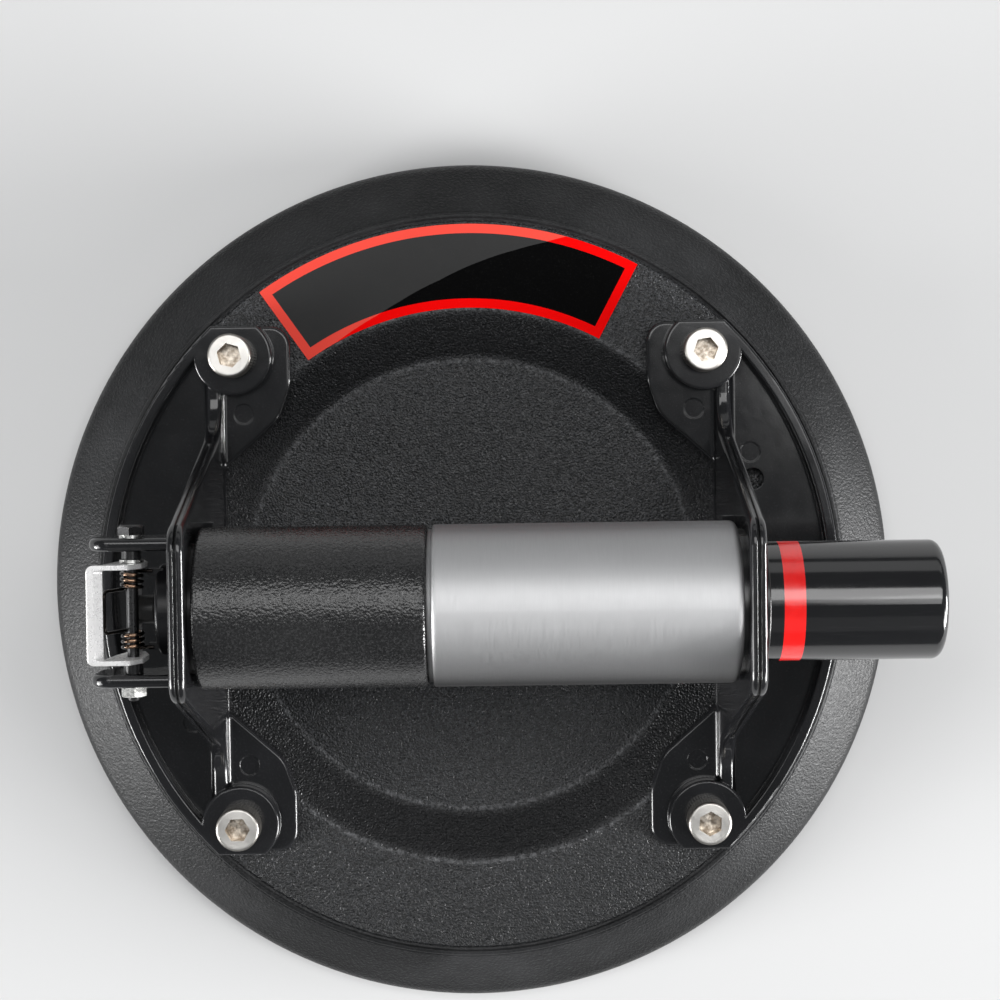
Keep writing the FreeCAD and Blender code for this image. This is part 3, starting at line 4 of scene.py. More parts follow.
import bmesh
import bpy
import numpy as np
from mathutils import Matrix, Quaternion, Vector, noise


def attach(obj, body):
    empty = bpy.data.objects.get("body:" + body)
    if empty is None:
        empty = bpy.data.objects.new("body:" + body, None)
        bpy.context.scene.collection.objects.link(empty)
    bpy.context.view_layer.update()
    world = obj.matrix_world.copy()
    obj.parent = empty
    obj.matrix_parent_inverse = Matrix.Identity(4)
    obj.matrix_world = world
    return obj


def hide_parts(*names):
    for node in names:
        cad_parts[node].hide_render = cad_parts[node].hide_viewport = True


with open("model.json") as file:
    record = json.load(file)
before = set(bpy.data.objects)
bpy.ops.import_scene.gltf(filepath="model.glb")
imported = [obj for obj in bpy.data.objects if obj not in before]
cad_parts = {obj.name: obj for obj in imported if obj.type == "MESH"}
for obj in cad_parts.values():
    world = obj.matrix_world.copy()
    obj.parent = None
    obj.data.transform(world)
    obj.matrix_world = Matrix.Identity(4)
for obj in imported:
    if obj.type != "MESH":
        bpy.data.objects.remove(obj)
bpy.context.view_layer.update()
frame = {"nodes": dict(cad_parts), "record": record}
NODES = frame["nodes"]
MM = 0.001


# ---------------------------------------------------------------------------
# Camera: fitted to the circles and edges of the photograph
# ---------------------------------------------------------------------------
cam_data = bpy.data.cameras.new("camera")
cam = bpy.data.objects.new("camera", cam_data)
bpy.context.scene.collection.objects.link(cam)
cam.location = (0.0061, 0.0368, 0.5000)
cam.rotation_euler = tuple(math.radians(a) for a in (-1.98, -0.13, -0.75))
cam_data.sensor_width = 36.0
cam_data.lens = 36.0 * 2055.3 / 1000.0
cam_data.clip_start = 0.01
cam_data.clip_end = 20.0
bpy.context.scene.camera = cam


# ---------------------------------------------------------------------------
# Node helpers
# ---------------------------------------------------------------------------
class Shade:
    """A material in the making: nodes are added by short calls."""

    def __init__(self, name):
        self.mat = bpy.data.materials.new(name)
        self.mat.use_nodes = True
        self.tree = self.mat.node_tree
        self.tree.nodes.clear()
        self.out = self.add("ShaderNodeOutputMaterial")
        self.bsdf = self.add("ShaderNodeBsdfPrincipled")
        self.link(self.bsdf.outputs["BSDF"], self.out.inputs["Surface"])
        self.place = self.add("ShaderNodeTexCoord").outputs["Object"]

    def add(self, kind):
        return self.tree.nodes.new(kind)

    def link(self, a, b):
        self.tree.links.new(a, b)

    def feed(self, socket, value):
        if value is None:
            return
        if isinstance(value, bpy.types.NodeSocket):
            self.link(value, socket)
        else:
            socket.default_value = value

    def set(self, **values):
        for key, value in values.items():
            self.feed(self.bsdf.inputs[key.replace("_", " ")], value)
        return self

    def stretch(self, x, y, z, vector=None):
        node = self.add("ShaderNodeMapping")
        node.inputs["Scale"].default_value = (x, y, z)
        self.link(vector or self.place, node.inputs["Vector"])
        return node.outputs["Vector"]

    def noise(self, scale, detail=2.0, rough=0.5, vector=None, twist=0.0):
        node = self.add("ShaderNodeTexNoise")
        node.inputs["Scale"].default_value = scale
        node.inputs["Detail"].default_value = detail
        node.inputs["Roughness"].default_value = rough
        node.inputs["Distortion"].default_value = twist
        self.link(vector or self.place, node.inputs["Vector"])
        return node.outputs["Fac"]

    def cells(self, scale, feature="F1", vector=None, out="Distance", smooth=None):
        node = self.add("ShaderNodeTexVoronoi")
        node.feature = feature
        node.inputs["Scale"].default_value = scale
        if smooth is not None:
            node.inputs["Smoothness"].default_value = smooth
        self.link(vector or self.place, node.inputs["Vector"])
        return node.outputs[out]

    def math(self, op, a, b=None, c=None, clamp=False):
        node = self.add("ShaderNodeMath")
        node.operation = op
        node.use_clamp = clamp
        for k, value in enumerate((a, b, c)):
            self.feed(node.inputs[k], value)
        return node.outputs[0]

    def span(self, value, a, b, c=0.0, d=1.0):
        """Carries the range a..b over to c..d and stays inside it."""
        node = self.add("ShaderNodeMapRange")
        node.clamp = True
        self.feed(node.inputs["Value"], value)
        for key, v in (("From Min", a), ("From Max", b), ("To Min", c), ("To Max", d)):
            node.inputs[key].default_value = v
        return node.outputs["Result"]

    def mix(self, amount, a, b):
        node = self.add("ShaderNodeMix")
        node.data_type = "RGBA"
        self.feed(node.inputs[0], amount)
        self.feed(node.inputs[6], a if isinstance(a, bpy.types.NodeSocket) else (*a, 1.0))
        self.feed(node.inputs[7], b if isinstance(b, bpy.types.NodeSocket) else (*b, 1.0))
        return node.outputs[2]

    def bump(self, height, strength, distance, normal=None):
        node = self.add("ShaderNodeBump")
        node.inputs["Strength"].default_value = strength
        node.inputs["Distance"].default_value = distance
        self.link(height, node.inputs["Height"])
        if normal is not None:
            self.link(normal, node.inputs["Normal"])
        return node.outputs["Normal"]

    def bevel(self, radius):
        node = self.add("ShaderNodeBevel")
        node.samples = 6
        node.inputs["Radius"].default_value = radius
        return node.outputs["Normal"]

    def edges(self, radius, low=0.02, high=0.25):
        """1 along the edges of the shape, 0 on its faces."""
        geo = self.add("ShaderNodeNewGeometry")
        dot = self.add("ShaderNodeVectorMath")
        dot.operation = "DOT_PRODUCT"
        self.link(self.bevel(radius), dot.inputs[0])
        self.link(geo.outputs["Normal"], dot.inputs[1])
        return self.span(self.math("SUBTRACT", 1.0, dot.outputs["Value"]), low, high)

    def xyz(self):
        node = self.add("ShaderNodeSeparateXYZ")
        self.link(self.place, node.inputs[0])
        return node.outputs


def rubber(name, dark=(0.0085, 0.0088, 0.0093), light=(0.035, 0.0355, 0.037),
           grain=1550.0, depth=0.00026, strength=0.8, rough=(0.34, 0.48), ior=1.30, low=None):
    """Moulded rubber: fine spark-eroded grain, faint bloom, paler where rubbed."""
    m = Shade(name)
    fine = m.noise(grain, 2.0, 0.6)
    broad = m.noise(38.0, 3.0, 0.6)
    bloom = m.span(broad, 0.42, 0.72)
    wear_and_edge_highlight = m.math("MULTIPLY", m.edges(0.0007, 0.03, 0.35), m.span(m.noise(260.0, 3.0), 0.35, 0.6))
    shade = m.mix(m.math("MULTIPLY", bloom, 0.6), dark, light)
    shade = m.mix(m.math("MULTIPLY", m.span(fine, 0.5, 0.75), 0.5), shade, light)
    shade = m.mix(m.math("MULTIPLY", wear_and_edge_highlight, 0.45), shade, (0.06, 0.06, 0.062))
    # painted shade: when low is given, the colour darkens towards the bottom of the part
    if low:
        x, y, z = m.xyz()
        shade = m.mix(m.span(z, low[0], low[1]), tuple(c * 0.5 for c in dark), shade)
    m.set(Base_Color=shade,
          Roughness=m.span(m.noise(grain * 0.8, 1.0), 0.3, 0.7, rough[0], rough[1]),
          Normal=m.bump(fine, strength, depth))
    m.set(IOR=ior)
    return m.mat


# ---------------------------------------------------------------------------
# Materials
# ---------------------------------------------------------------------------
def pad_rubber():
    # painted shade: the skirt's colour darkens below about 13.5 mm height
    return rubber("pad_rubber", low=(0.0035, 0.0135))


def seal_rubber():
    return rubber("seal_rubber", (0.012, 0.012, 0.012), (0.025, 0.025, 0.025), 5000.0, 0.00002, 0.3, (0.3, 0.45))


def textured_plate():
    """Coarse wrinkle coating: grains of about half a millimetre."""
    m = Shade("textured_plate")
    grain = m.cells(1900.0, "F1")
    crumbs = m.noise(2300.0, 1.0, 0.6)
    rise = m.math("ADD", m.math("MULTIPLY", grain, -0.7), crumbs)
    broad = m.noise(30.0, 3.0, 0.6)
    worn = m.math("MULTIPLY", m.edges(0.0008, 0.02, 0.25), m.span(m.noise(500.0, 2.0), 0.3, 0.6))
    shade = m.mix(m.span(crumbs, 0.44, 0.70), (0.0032, 0.0034, 0.0038), (0.050, 0.052, 0.057))
    shade = m.mix(m.math("MULTIPLY", m.span(broad, 0.4, 0.7), 0.35), shade, (0.020, 0.021, 0.022))
    shade = m.mix(m.math("MULTIPLY", worn, 0.5), shade, (0.14, 0.142, 0.145))
    x, y, z = m.xyz()
    # painted shade: the plate's colour darkens towards -Y
    shade = m.mix(m.span(y, -0.090, 0.005, 0.65, 0.0), shade, (0.003, 0.0031, 0.0034))
    rad = m.math("SQRT", m.math("ADD", m.math("MULTIPLY", x, x), m.math("MULTIPLY", y, y)))
    # painted shade: darker colour and a weaker specular tint on the dish's sloping wall
    painted_recess_shade = m.math("MULTIPLY", m.span(rad, 0.0528, 0.0552), m.span(rad, 0.0630, 0.0655, 0.74, 0.0))
    shade = m.mix(m.math("MULTIPLY", painted_recess_shade, 0.85), shade, (0.0016, 0.0016, 0.0017))
    # painted highlights: lighter, patchy rings along both edges of the dish wall
    inner = m.span(m.math("ABSOLUTE", m.math("SUBTRACT", rad, 0.0531)), 0.0002, 0.0008, 1.0, 0.0)
    outer = m.span(m.math("ABSOLUTE", m.math("SUBTRACT", rad, 0.0651)), 0.0002, 0.0008, 1.0, 0.0)
    wear_and_edge_highlight = m.math("MULTIPLY", m.math("ADD", inner, outer), m.span(m.noise(900.0, 3.0), 0.40, 0.66))
    shade = m.mix(m.math("MULTIPLY", wear_and_edge_highlight, 0.55), shade, (0.15, 0.152, 0.158))
    m.set(Base_Color=shade, Specular_Tint=m.mix(painted_recess_shade, (1.0, 1.0, 1.0), (0.25, 0.25, 0.26)),
          Roughness=m.span(m.noise(1900.0, 1.0), 0.3, 0.7, 0.26, 0.46),
          Normal=m.bump(rise, 0.9, 0.00026))
    m.set(IOR=1.5)
    return m.mat


def bracket_plastic():
    """Gloss black moulding with a faint ripple, fine dust and rubbed edges."""
    m = Shade("bracket_plastic")
    ripple = m.noise(120.0, 2.0, 0.5)
    dust = m.span(m.noise(5200.0, 1.0, 0.5), 0.66, 0.8)
    edge = m.edges(0.0006, 0.02, 0.3)
    wear_and_edge_highlight = m.math("MULTIPLY", edge, m.span(m.noise(420.0, 3.0), 0.42, 0.66))
    shade = m.mix(m.span(m.noise(60.0, 3.0), 0.3, 0.7), (0.0065, 0.0066, 0.0072), (0.012, 0.0122, 0.0135))
    shade = m.mix(m.math("MULTIPLY", wear_and_edge_highlight, 0.5), shade, (0.05, 0.05, 0.053))
    shade = m.mix(m.math("MULTIPLY", dust, 0.35), shade, (0.12, 0.12, 0.12))
    rough = m.math("ADD", m.span(m.noise(90.0, 4.0, 0.6), 0.3, 0.75, 0.09, 0.16), m.math("MULTIPLY", wear_and_edge_highlight, 0.15))
    m.set(Base_Color=shade, Roughness=rough,
          Normal=m.bump(ripple, 0.05, 0.0006, m.bump(m.noise(1500.0, 2.0), 0.10, 0.00002, m.bevel(0.00035))))
    m.set(IOR=1.55)
    return m.mat


def steel(name, tint, rough, brush=None, grain=9000.0, edge_light=0.0, blotch=0.86, soften=0.0):
    m = Shade(name)
    vector = m.stretch(*brush) if brush else None
    lines = m.noise(grain, 3.0, 0.6, vector)
    cloud = m.noise(70.0, 3.0, 0.6)
    dark = tuple(c * blotch for c in tint)
    shade = m.mix(m.span(cloud, 0.35, 0.7), tint, dark)
    if edge_light:
        shade = m.mix(m.math("MULTIPLY", m.edges(0.0003, 0.03, 0.3), edge_light), shade,
                      tuple(min(1.0, c * 1.2) for c in tint))
    m.set(Base_Color=shade,
          Roughness=m.span(lines, 0.3, 0.7, rough[0], rough[1]),
          Normal=m.bump(lines, 0.12, 0.00003, m.bevel(soften) if soften else None))
    m.set(Metallic=1.0)
    m.shade = shade
    return m


def barrel_steel():
    # satin tube: faint lines round it, like fine emery leaves; darker underneath and towards -Y, painted shade
    m = steel("barrel_steel", (0.62, 0.62, 0.625), (0.52, 0.60), (1.0, 0.05, 0.05), 5200.0, 0.3, 0.96, 0.0014)
    x, y, z = m.xyz()
    # painted shade: darker below the top of the tube, and darker still towards -Y
    shade = m.mix(m.span(z, 0.0760, 0.0850), (0.27, 0.27, 0.275), m.shade)
    shade = m.mix(m.span(y, -0.0155, -0.0035), m.mix(m.span(z, 0.0760, 0.0850), (0.060, 0.060, 0.061), (0.19, 0.19, 0.192)), shade)
    m.set(Base_Color=shade)
    return m.mat


def screw_steel():
    """Stainless socket screws with knurled heads."""
    m = steel("screw_steel", (0.80, 0.775, 0.735), (0.28, 0.42), None, 2600.0)
    x, y, z = m.xyz()
    dx = m.math("SUBTRACT", m.math("ABSOLUTE", x), 0.05425)
    dy = m.math("SUBTRACT", m.math("ABSOLUTE", y), 0.0543)
    turn = m.math("ARCTAN2", dy, dx)
    ridge = m.math("SINE", m.math("MULTIPLY", turn, 48.0))
    far = m.math("SQRT", m.math("ADD", m.math("MULTIPLY", dx, dx), m.math("MULTIPLY", dy, dy)))
    side = m.math("GREATER_THAN", far, 0.00492)
    head = m.math("MULTIPLY", side, m.math("GREATER_THAN", z, 0.0266))
    head = m.math("MULTIPLY", head, m.math("LESS_THAN", z, 0.0312))
    knurl = m.math("MULTIPLY", ridge, head)
    # turning marks on the top of the head; down in the hexagon darker and browner, grime and painted shade in the
    # socket
    rings = m.math("SINE", m.math("MULTIPLY", far, 42000.0))
    rise = m.math("ADD", m.math("MULTIPLY", knurl, 1.0), m.math("MULTIPLY", rings, 0.05))
    normal = m.bump(rise, 0.6, 0.00015)
    down = m.math("MULTIPLY", m.math("LESS_THAN", far, 0.00296), m.math("LESS_THAN", z, 0.03188))
    down = m.math("MULTIPLY", down, m.math("GREATER_THAN", z, 0.0265))
    socket_grime_and_shade = m.mix(m.span(m.noise(700.0, 3.0, 0.6), 0.40, 0.62), (0.32, 0.265, 0.21), (0.85, 0.77, 0.67))
    # painted shade: the head's outer rim darker
    ring = m.mix(m.span(far, 0.00445, 0.00475), m.shade, (0.26, 0.245, 0.225))
    m.set(Normal=normal, Base_Color=m.mix(down, ring, socket_grime_and_shade))
    return m.mat


def plated_steel():
    m = steel("plated_steel", (0.66, 0.66, 0.64), (0.2, 0.34), None, 1400.0, 0.5)
    return m.mat


def spring_steel():
    return steel("spring_steel", (0.52, 0.52, 0.53), (0.22, 0.36), None, 3000.0).mat


def dark_spring():
    m = Shade("dark_spring")
    warm = m.span(m.noise(900.0, 2.0), 0.4, 0.65)
    x, y, z = m.xyz()
    # painted highlight: copper only in a narrow band over the pivot where the coil tops catch the light; painted
    # shade: near black everywhere else, bow included
    painted_glint_and_shade_mask = m.span(m.math("ABSOLUTE", m.math("ADD", x, 0.0692)), 0.0007, 0.0014)
    copper = m.mix(warm, (0.26, 0.17, 0.12), (0.42, 0.27, 0.18))
    m.set(Base_Color=m.mix(painted_glint_and_shade_mask, copper, (0.022, 0.019, 0.017)),
          Roughness=m.span(m.noise(2500.0, 2.0), 0.3, 0.7, 0.10, 0.20),
          Normal=m.bump(m.noise(5000.0, 2.0), 0.2, 0.00002))
    m.set(Metallic=1.0)
    return m.mat


def bolt_steel():
    m = Shade("bolt_steel")
    worn = m.math("MULTIPLY", m.edges(0.00025, 0.03, 0.3), m.span(m.noise(1500.0, 2.0), 0.35, 0.6))
    m.set(Base_Color=m.mix(worn, (0.045, 0.045, 0.046), (0.30, 0.29, 0.28)),
          Roughness=m.span(m.noise(1800.0, 2.0), 0.3, 0.7, 0.24, 0.4),
          Normal=m.bump(m.noise(2600.0, 2.0), 0.2, 0.00003))
    m.set(Metallic=1.0)
    return m.mat


def lever_plate():
    """Bright nickel plating over pressed sheet."""
    m = Shade("lever_plate")
    pits = m.noise(1100.0, 3.0, 0.6)
    cloud = m.noise(160.0, 3.0, 0.6)
    scuff = m.span(m.noise(2200.0, 3.0, 0.7, m.stretch(1.0, 0.12, 1.0)), 0.58, 0.72)
    shade = m.mix(m.span(cloud, 0.3, 0.7), (0.95, 0.94, 0.935), (0.88, 0.87, 0.865))
    # painted shade: darker along the sheet's edges and folds
    m.set(Base_Color=m.mix(m.math("MULTIPLY", m.edges(0.0004, 0.03, 0.4), 0.5), shade, (0.6, 0.58, 0.55)),
          Roughness=m.math("ADD", m.span(pits, 0.3, 0.7, 0.24, 0.34), m.math("MULTIPLY", scuff, 0.08)),
          Normal=m.bump(pits, 0.12, 0.00004, m.bevel(0.0003)))
    m.set(Metallic=0.35)
    return m.mat


def grip_silicone():
    m = Shade("grip_silicone")
    grain = m.cells(1700.0, "F1")
    crumbs = m.noise(2200.0, 2.0, 0.6)
    rise = m.math("ADD", m.math("MULTIPLY", grain, -0.8), crumbs)
    shade = m.mix(m.span(crumbs, 0.46, 0.7), (0.005, 0.005, 0.0052), (0.030, 0.030, 0.031))
    shade = m.mix(m.math("MULTIPLY", m.span(m.noise(45.0, 3.0), 0.45, 0.7), 0.25), shade, (0.03, 0.03, 0.03))
    m.set(Base_Color=shade,
          Roughness=m.span(m.noise(2600.0, 1.0), 0.3, 0.7, 0.18, 0.30),
          Normal=m.bump(rise, 0.65, 0.00014))
    m.set(IOR=1.62)
    return m.mat


def smooth_plastic(name, shade=(0.008, 0.008, 0.009), rough=(0.22, 0.34), ior=1.5, fine=0.12):
    m = Shade(name)
    edge = m.math("MULTIPLY", m.edges(0.0003, 0.03, 0.3), m.span(m.noise(700.0, 2.0), 0.4, 0.65))
    base = m.mix(m.span(m.noise(110.0, 3.0), 0.3, 0.7), shade, tuple(c * 1.7 for c in shade))
    m.set(Base_Color=m.mix(m.math("MULTIPLY", edge, 0.4), base, (0.06, 0.06, 0.06)),
          Roughness=m.span(m.noise(300.0, 3.0), 0.3, 0.7, rough[0], rough[1]),
          Normal=m.bump(m.noise(1800.0, 2.0), fine, 0.00002, m.bevel(0.0002)))
    m.set(IOR=ior)
    return m.mat


def plunger_plastic():
    """Polished black tube with faint lines from sliding in its bush."""
    m = Shade("plunger_plastic")
    slide = m.noise(4200.0, 3.0, 0.65, m.stretch(0.03, 1.0, 1.0))
    lines = m.span(slide, 0.56, 0.7)
    m.set(Base_Color=m.mix(m.math("MULTIPLY", lines, 0.25), (0.0055, 0.0055, 0.0062), (0.03, 0.03, 0.032)),
          Roughness=m.span(m.noise(160.0, 3.0), 0.3, 0.7, 0.09, 0.14),
          Normal=m.bump(slide, 0.05, 0.00001, m.bump(m.noise(90.0, 1.0), 0.04, 0.0005)))
    m.set(IOR=1.75)
    return m.mat


def red_band():
    m = Shade("red_band")
    m.set(Base_Color=m.mix(m.span(m.noise(400.0, 3.0), 0.35, 0.7), (1.0, 0.003, 0.001), (0.92, 0.002, 0.001)),
          Roughness=m.span(m.noise(500.0, 2.0), 0.3, 0.7, 0.18, 0.26),
          Normal=m.bump(m.noise(900.0, 2.0), 0.08, 0.00003))
    m.set(IOR=1.9)
    return m.mat


def brass_part():
    m = Shade("brass_part")
    m.set(Base_Color=m.mix(m.span(m.noise(800.0, 2.0), 0.3, 0.7), (0.72, 0.52, 0.24), (0.60, 0.42, 0.18)),
          Roughness=m.span(m.noise(3000.0, 2.0), 0.3, 0.7, 0.22, 0.34),
          Normal=m.bump(m.noise(3500.0, 2.0), 0.15, 0.00003))
    m.set(Metallic=1.0)
    return m.mat


def film(name, shade):
    """One printed colour of the label under its clear film."""
    m = Shade(name)
    fleck = m.span(m.noise(3600.0, 2.0), 0.62, 0.8)
    tint = m.mix(m.span(m.noise(50.0, 2.0), 0.3, 0.7), shade, tuple(c * 0.94 for c in shade))
    m.set(Base_Color=m.mix(m.math("MULTIPLY", fleck, 0.02), tint, (0.6, 0.6, 0.6)),
          Roughness=m.span(m.noise(260.0, 3.0), 0.3, 0.7, 0.24, 0.32),
          Normal=m.bump(m.noise(700.0, 2.0), 0.03, 0.00002))
    m.set(IOR=1.07)
    return m.mat


MATERIALS = {
    "pad_rubber": pad_rubber(), "textured_plate": textured_plate(),
    "plated_steel": plated_steel(), "screw_steel": screw_steel(),
    "bracket_plastic": bracket_plastic(), "seal_rubber": seal_rubber(),
    "barrel_steel": barrel_steel(), "grip_silicone": grip_silicone(),
    "acetal": smooth_plastic("acetal", (0.007, 0.007, 0.0078), (0.26, 0.4), 1.34),
    "brass_part": brass_part(), "spring_steel": spring_steel(),
    "bush_plastic": smooth_plastic("bush_plastic", (0.009, 0.009, 0.0095), (0.2, 0.3)),
    "plunger_plastic": plunger_plastic(), "red_band": red_band(),
    "lever_plate": lever_plate(), "bolt_steel": bolt_steel(),
    "dark_spring": dark_spring(),
    "label": film("label_film", (0.9, 0.004, 0.002)),
}
for part in frame["record"]["subparts"]:
    obj = NODES[part["node"]]
    obj.data.materials.clear()
    obj.data.materials.append(MATERIALS[part["material_slot"]])


# ---------------------------------------------------------------------------
# Mesh helpers
# ---------------------------------------------------------------------------
def rounded(points):
    """A profile with its corners rounded. A point is (a, b) or (a, b, radius)."""
    done = []
    count = len(points)
    for k, p in enumerate(points):
        here = Vector(p[:2])
        r = p[2] if len(p) > 2 else 0.0
        if r <= 0.0:
            done.append(here)
            continue
        before = Vector(points[k - 1][:2]) - here
        after = Vector(points[(k + 1) % count][:2]) - here
        angle = before.angle(after)
        reach = min(r / math.tan(angle / 2), 0.48 * before.length, 0.48 * after.length)
        r = reach * math.tan(angle / 2)
        middle = here + (before.normalized() + after.normalized()).normalized() * (r / math.sin(angle / 2))
        a = here + before.normalized() * reach - middle
        b = here + after.normalized() * reach - middle
        sweep = a.angle_signed(b)
        steps = max(2, int(abs(sweep) / math.radians(7.0)) + 1)
        for s in range(steps + 1):
            t = -sweep * s / steps
            done.append(middle + Vector((a.x * math.cos(t) - a.y * math.sin(t),
                                         a.x * math.sin(t) + a.y * math.cos(t))))
    return done


def new_object(name, bm, mats, sharp=35.0):
    mesh = bpy.data.meshes.new(name)
    bmesh.ops.recalc_face_normals(bm, faces=bm.faces)
    bm.to_mesh(mesh)
    bm.free()
    for face in mesh.polygons:
        face.use_smooth = True
    mesh.set_sharp_from_angle(angle=math.radians(sharp))
    for mat in mats:
        mesh.materials.append(mat)
    obj = bpy.data.objects.new(name, mesh)
    bpy.context.scene.collection.objects.link(obj)
    return obj


def lathe(name, profile, segments, place, mats):
    """Turns a closed profile of (radius, along) round an axis; place gives the point in metres."""
    bm = bmesh.new()
    rings = []
    for r, h in profile:
        if r < 1e-6:
            rings.append([bm.verts.new(place(0.0, h, 0.0))])
        else:
            rings.append([bm.verts.new(place(r, h, 2 * math.pi * k / segments)) for k in range(segments)])
    for i in range(len(rings)):
        a, b = rings[i], rings[(i + 1) % len(rings)]
        if len(a) == 1 and len(b) == 1:
            continue
        for k in range(segments):
            j = (k + 1) % segments
            if len(a) == 1:
                bm.faces.new((a[0], b[k], b[j]))
            elif len(b) == 1:
                bm.faces.new((a[k], b[0], a[j]))
            else:
                bm.faces.new((a[k], b[k], b[j], a[j]))
    return new_object(name, bm, mats)


def upright(r, h, turn):
    return (r * MM * math.cos(turn), r * MM * math.sin(turn), h * MM)


def cutter(name, x, y, r, low, high):
    bm = bmesh.new()
    count = 40
    rings = [[bm.verts.new(((x + r * math.cos(2 * math.pi * k / count)) * MM,
                            (y + r * math.sin(2 * math.pi * k / count)) * MM, z * MM))
              for k in range(count)] for z in (low, high)]
    for k in range(count):
        j = (k + 1) % count
        bm.faces.new((rings[0][k], rings[0][j], rings[1][j], rings[1][k]))
    bm.faces.new(rings[0][::-1])
    bm.faces.new(rings[1])
    return new_object(name, bm, [])


def cut(obj, tools):
    for tool in tools:
        mod = obj.modifiers.new("cut", "BOOLEAN")
        mod.operation = "DIFFERENCE"
        mod.solver = "EXACT"
        mod.object = tool
    bpy.context.view_layer.update()
    graph = bpy.context.evaluated_depsgraph_get()
    mesh = bpy.data.meshes.new_from_object(obj.evaluated_get(graph))
    obj.modifiers.clear()
    old = obj.data
    obj.data = mesh
    bpy.data.meshes.remove(old)
    for tool in tools:
        bpy.data.objects.remove(tool)


# ---------------------------------------------------------------------------
# Rubber cup: turned profile with its moulding lines, lip grooves and inner rings
# ---------------------------------------------------------------------------
low_plate, low_dish = 15.5, 11.5
# the skirt is a straight cone with a rounded nose
profile = [(0.0, 7.0), (14.0, 7.0, 0.6), (15.0, 6.65, 0.5), (16.0, 7.0, 0.6),
           (33.0, 7.0, 0.6), (34.0, 6.65, 0.5), (35.0, 7.0, 0.6),
           (54.6, 7.0, 0.6), (55.6, 6.6, 0.5), (56.6, 7.0, 0.6),
           (78.0, 7.0, 6.0), (86.0, 4.2, 3.0), (91.5, 0.0, 0.5),
           (93.0, 0.0, 0.1), (93.3, 0.45, 0.15), (93.6, 0.0, 0.1),
           (95.9, 0.0, 0.1), (96.2, 0.45, 0.15), (96.5, 0.0, 0.1),
           (98.0, 0.0, 0.5), (100.0, 1.5, 0.7), (100.0, 7.7, 6.0)]
profile += [(87.85, 17.85, 0.2), (87.5, 17.95, 0.15), (87.2, 18.75, 0.3),
            (86.45, 18.85, 0.3), (86.05, 18.38, 0.12), (85.65, 18.3, 0.04), (85.65, 18.15, 0.0), (86.75, 18.15),
            (86.75, low_plate), (64.1, low_plate), (53.1, low_dish), (0.0, low_dish)]
pad_skin = lathe("pad_skin", rounded(profile), 360, upright, [MATERIALS["pad_rubber"]])
cut(pad_skin, [cutter("socket", 54.25 * sx, 54.3 * sy, 5.55, 10.55, 15.9)
               for sx in (1, -1) for sy in (1, -1)] + [cutter("port", -70.5, 0.0, 2.0, 3.0, 16.2)])
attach(pad_skin, "cup_and_handle")
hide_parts("suction_pad")


# ---------------------------------------------------------------------------
# Grip: sleeve with real grain in its surface and rolled ends
# ---------------------------------------------------------------------------
def build_grip():
    x0, x1, r_out, r_in = -56.0, -8.5, 16.93, 15.25
    step = 0.30
    turns = int(2 * math.pi * r_out / step)
    edge = rounded([(x0, r_in + 0.02), (x0, r_out, 0.9), (x1, r_out, 0.9), (x1, r_in + 0.02)])
    line = [(edge[0].x, edge[0].y)]
    for p, q in zip(edge, edge[1:]):
        parts = max(1, int((q - p).length / step))
        line += [(p.x + (q.x - p.x) * s / parts, p.y + (q.y - p.y) * s / parts) for s in range(1, parts + 1)]
    line += [(x1, r_in), (x1 - 16.0, r_in), (x0 + 16.0, r_in), (x0, r_in)]
    bm = bmesh.new()
    rings = []
    for x, r in line:
        ring = []
        for k in range(turns):
            t = 2 * math.pi * k / turns
            c, s = math.cos(t), math.sin(t)
            lift = 0.0
            if r > r_in + 0.6:
                where = Vector((x, r * c, r * s))
                lift = 0.055 * noise.noise(where * 2.1) + 0.045 * noise.noise(where * 4.3 + Vector((7.0, 3.0, 1.0)))
                lift += 0.03 * noise.noise(where * 0.12)
            rr = r + lift
            ring.append(bm.verts.new((x * MM, rr * c * MM, (70.0 + rr * s) * MM)))
        rings.append(ring)
    for i in range(len(rings)):
        a, b = rings[i], rings[(i + 1) % len(rings)]
        for k in range(turns):
            j = (k + 1) % turns
            bm.faces.new((a[k], b[k], b[j], a[j]))
    return new_object("grip_skin", bm, [MATERIALS["grip_silicone"]], 60.0)


grip_skin = build_grip()
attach(grip_skin, "cup_and_handle")
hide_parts("grip_sleeve")


# ---------------------------------------------------------------------------
# Label: printed film with a red border and a bare field, paler beyond one
# sweeping curve: a painted sheen laid into the print
# ---------------------------------------------------------------------------
SWEEP = [(125.0, 64.0), (114.3, 65.9), (108.6, 67.0), (103.3, 68.7), (95.1, 72.0),
         (87.7, 76.0), (81.9, 79.3), (76.6, 82.7), (74.0, 84.8), (62.0, 95.0)]


def sweep_at(angle):
    for (a, r), (b, q) in zip(SWEEP, SWEEP[1:]):
        if b <= angle <= a:
            return r + (q - r) * (a - angle) / (a - b)
    return SWEEP[0][1] if angle > SWEEP[0][0] else SWEEP[-1][1]


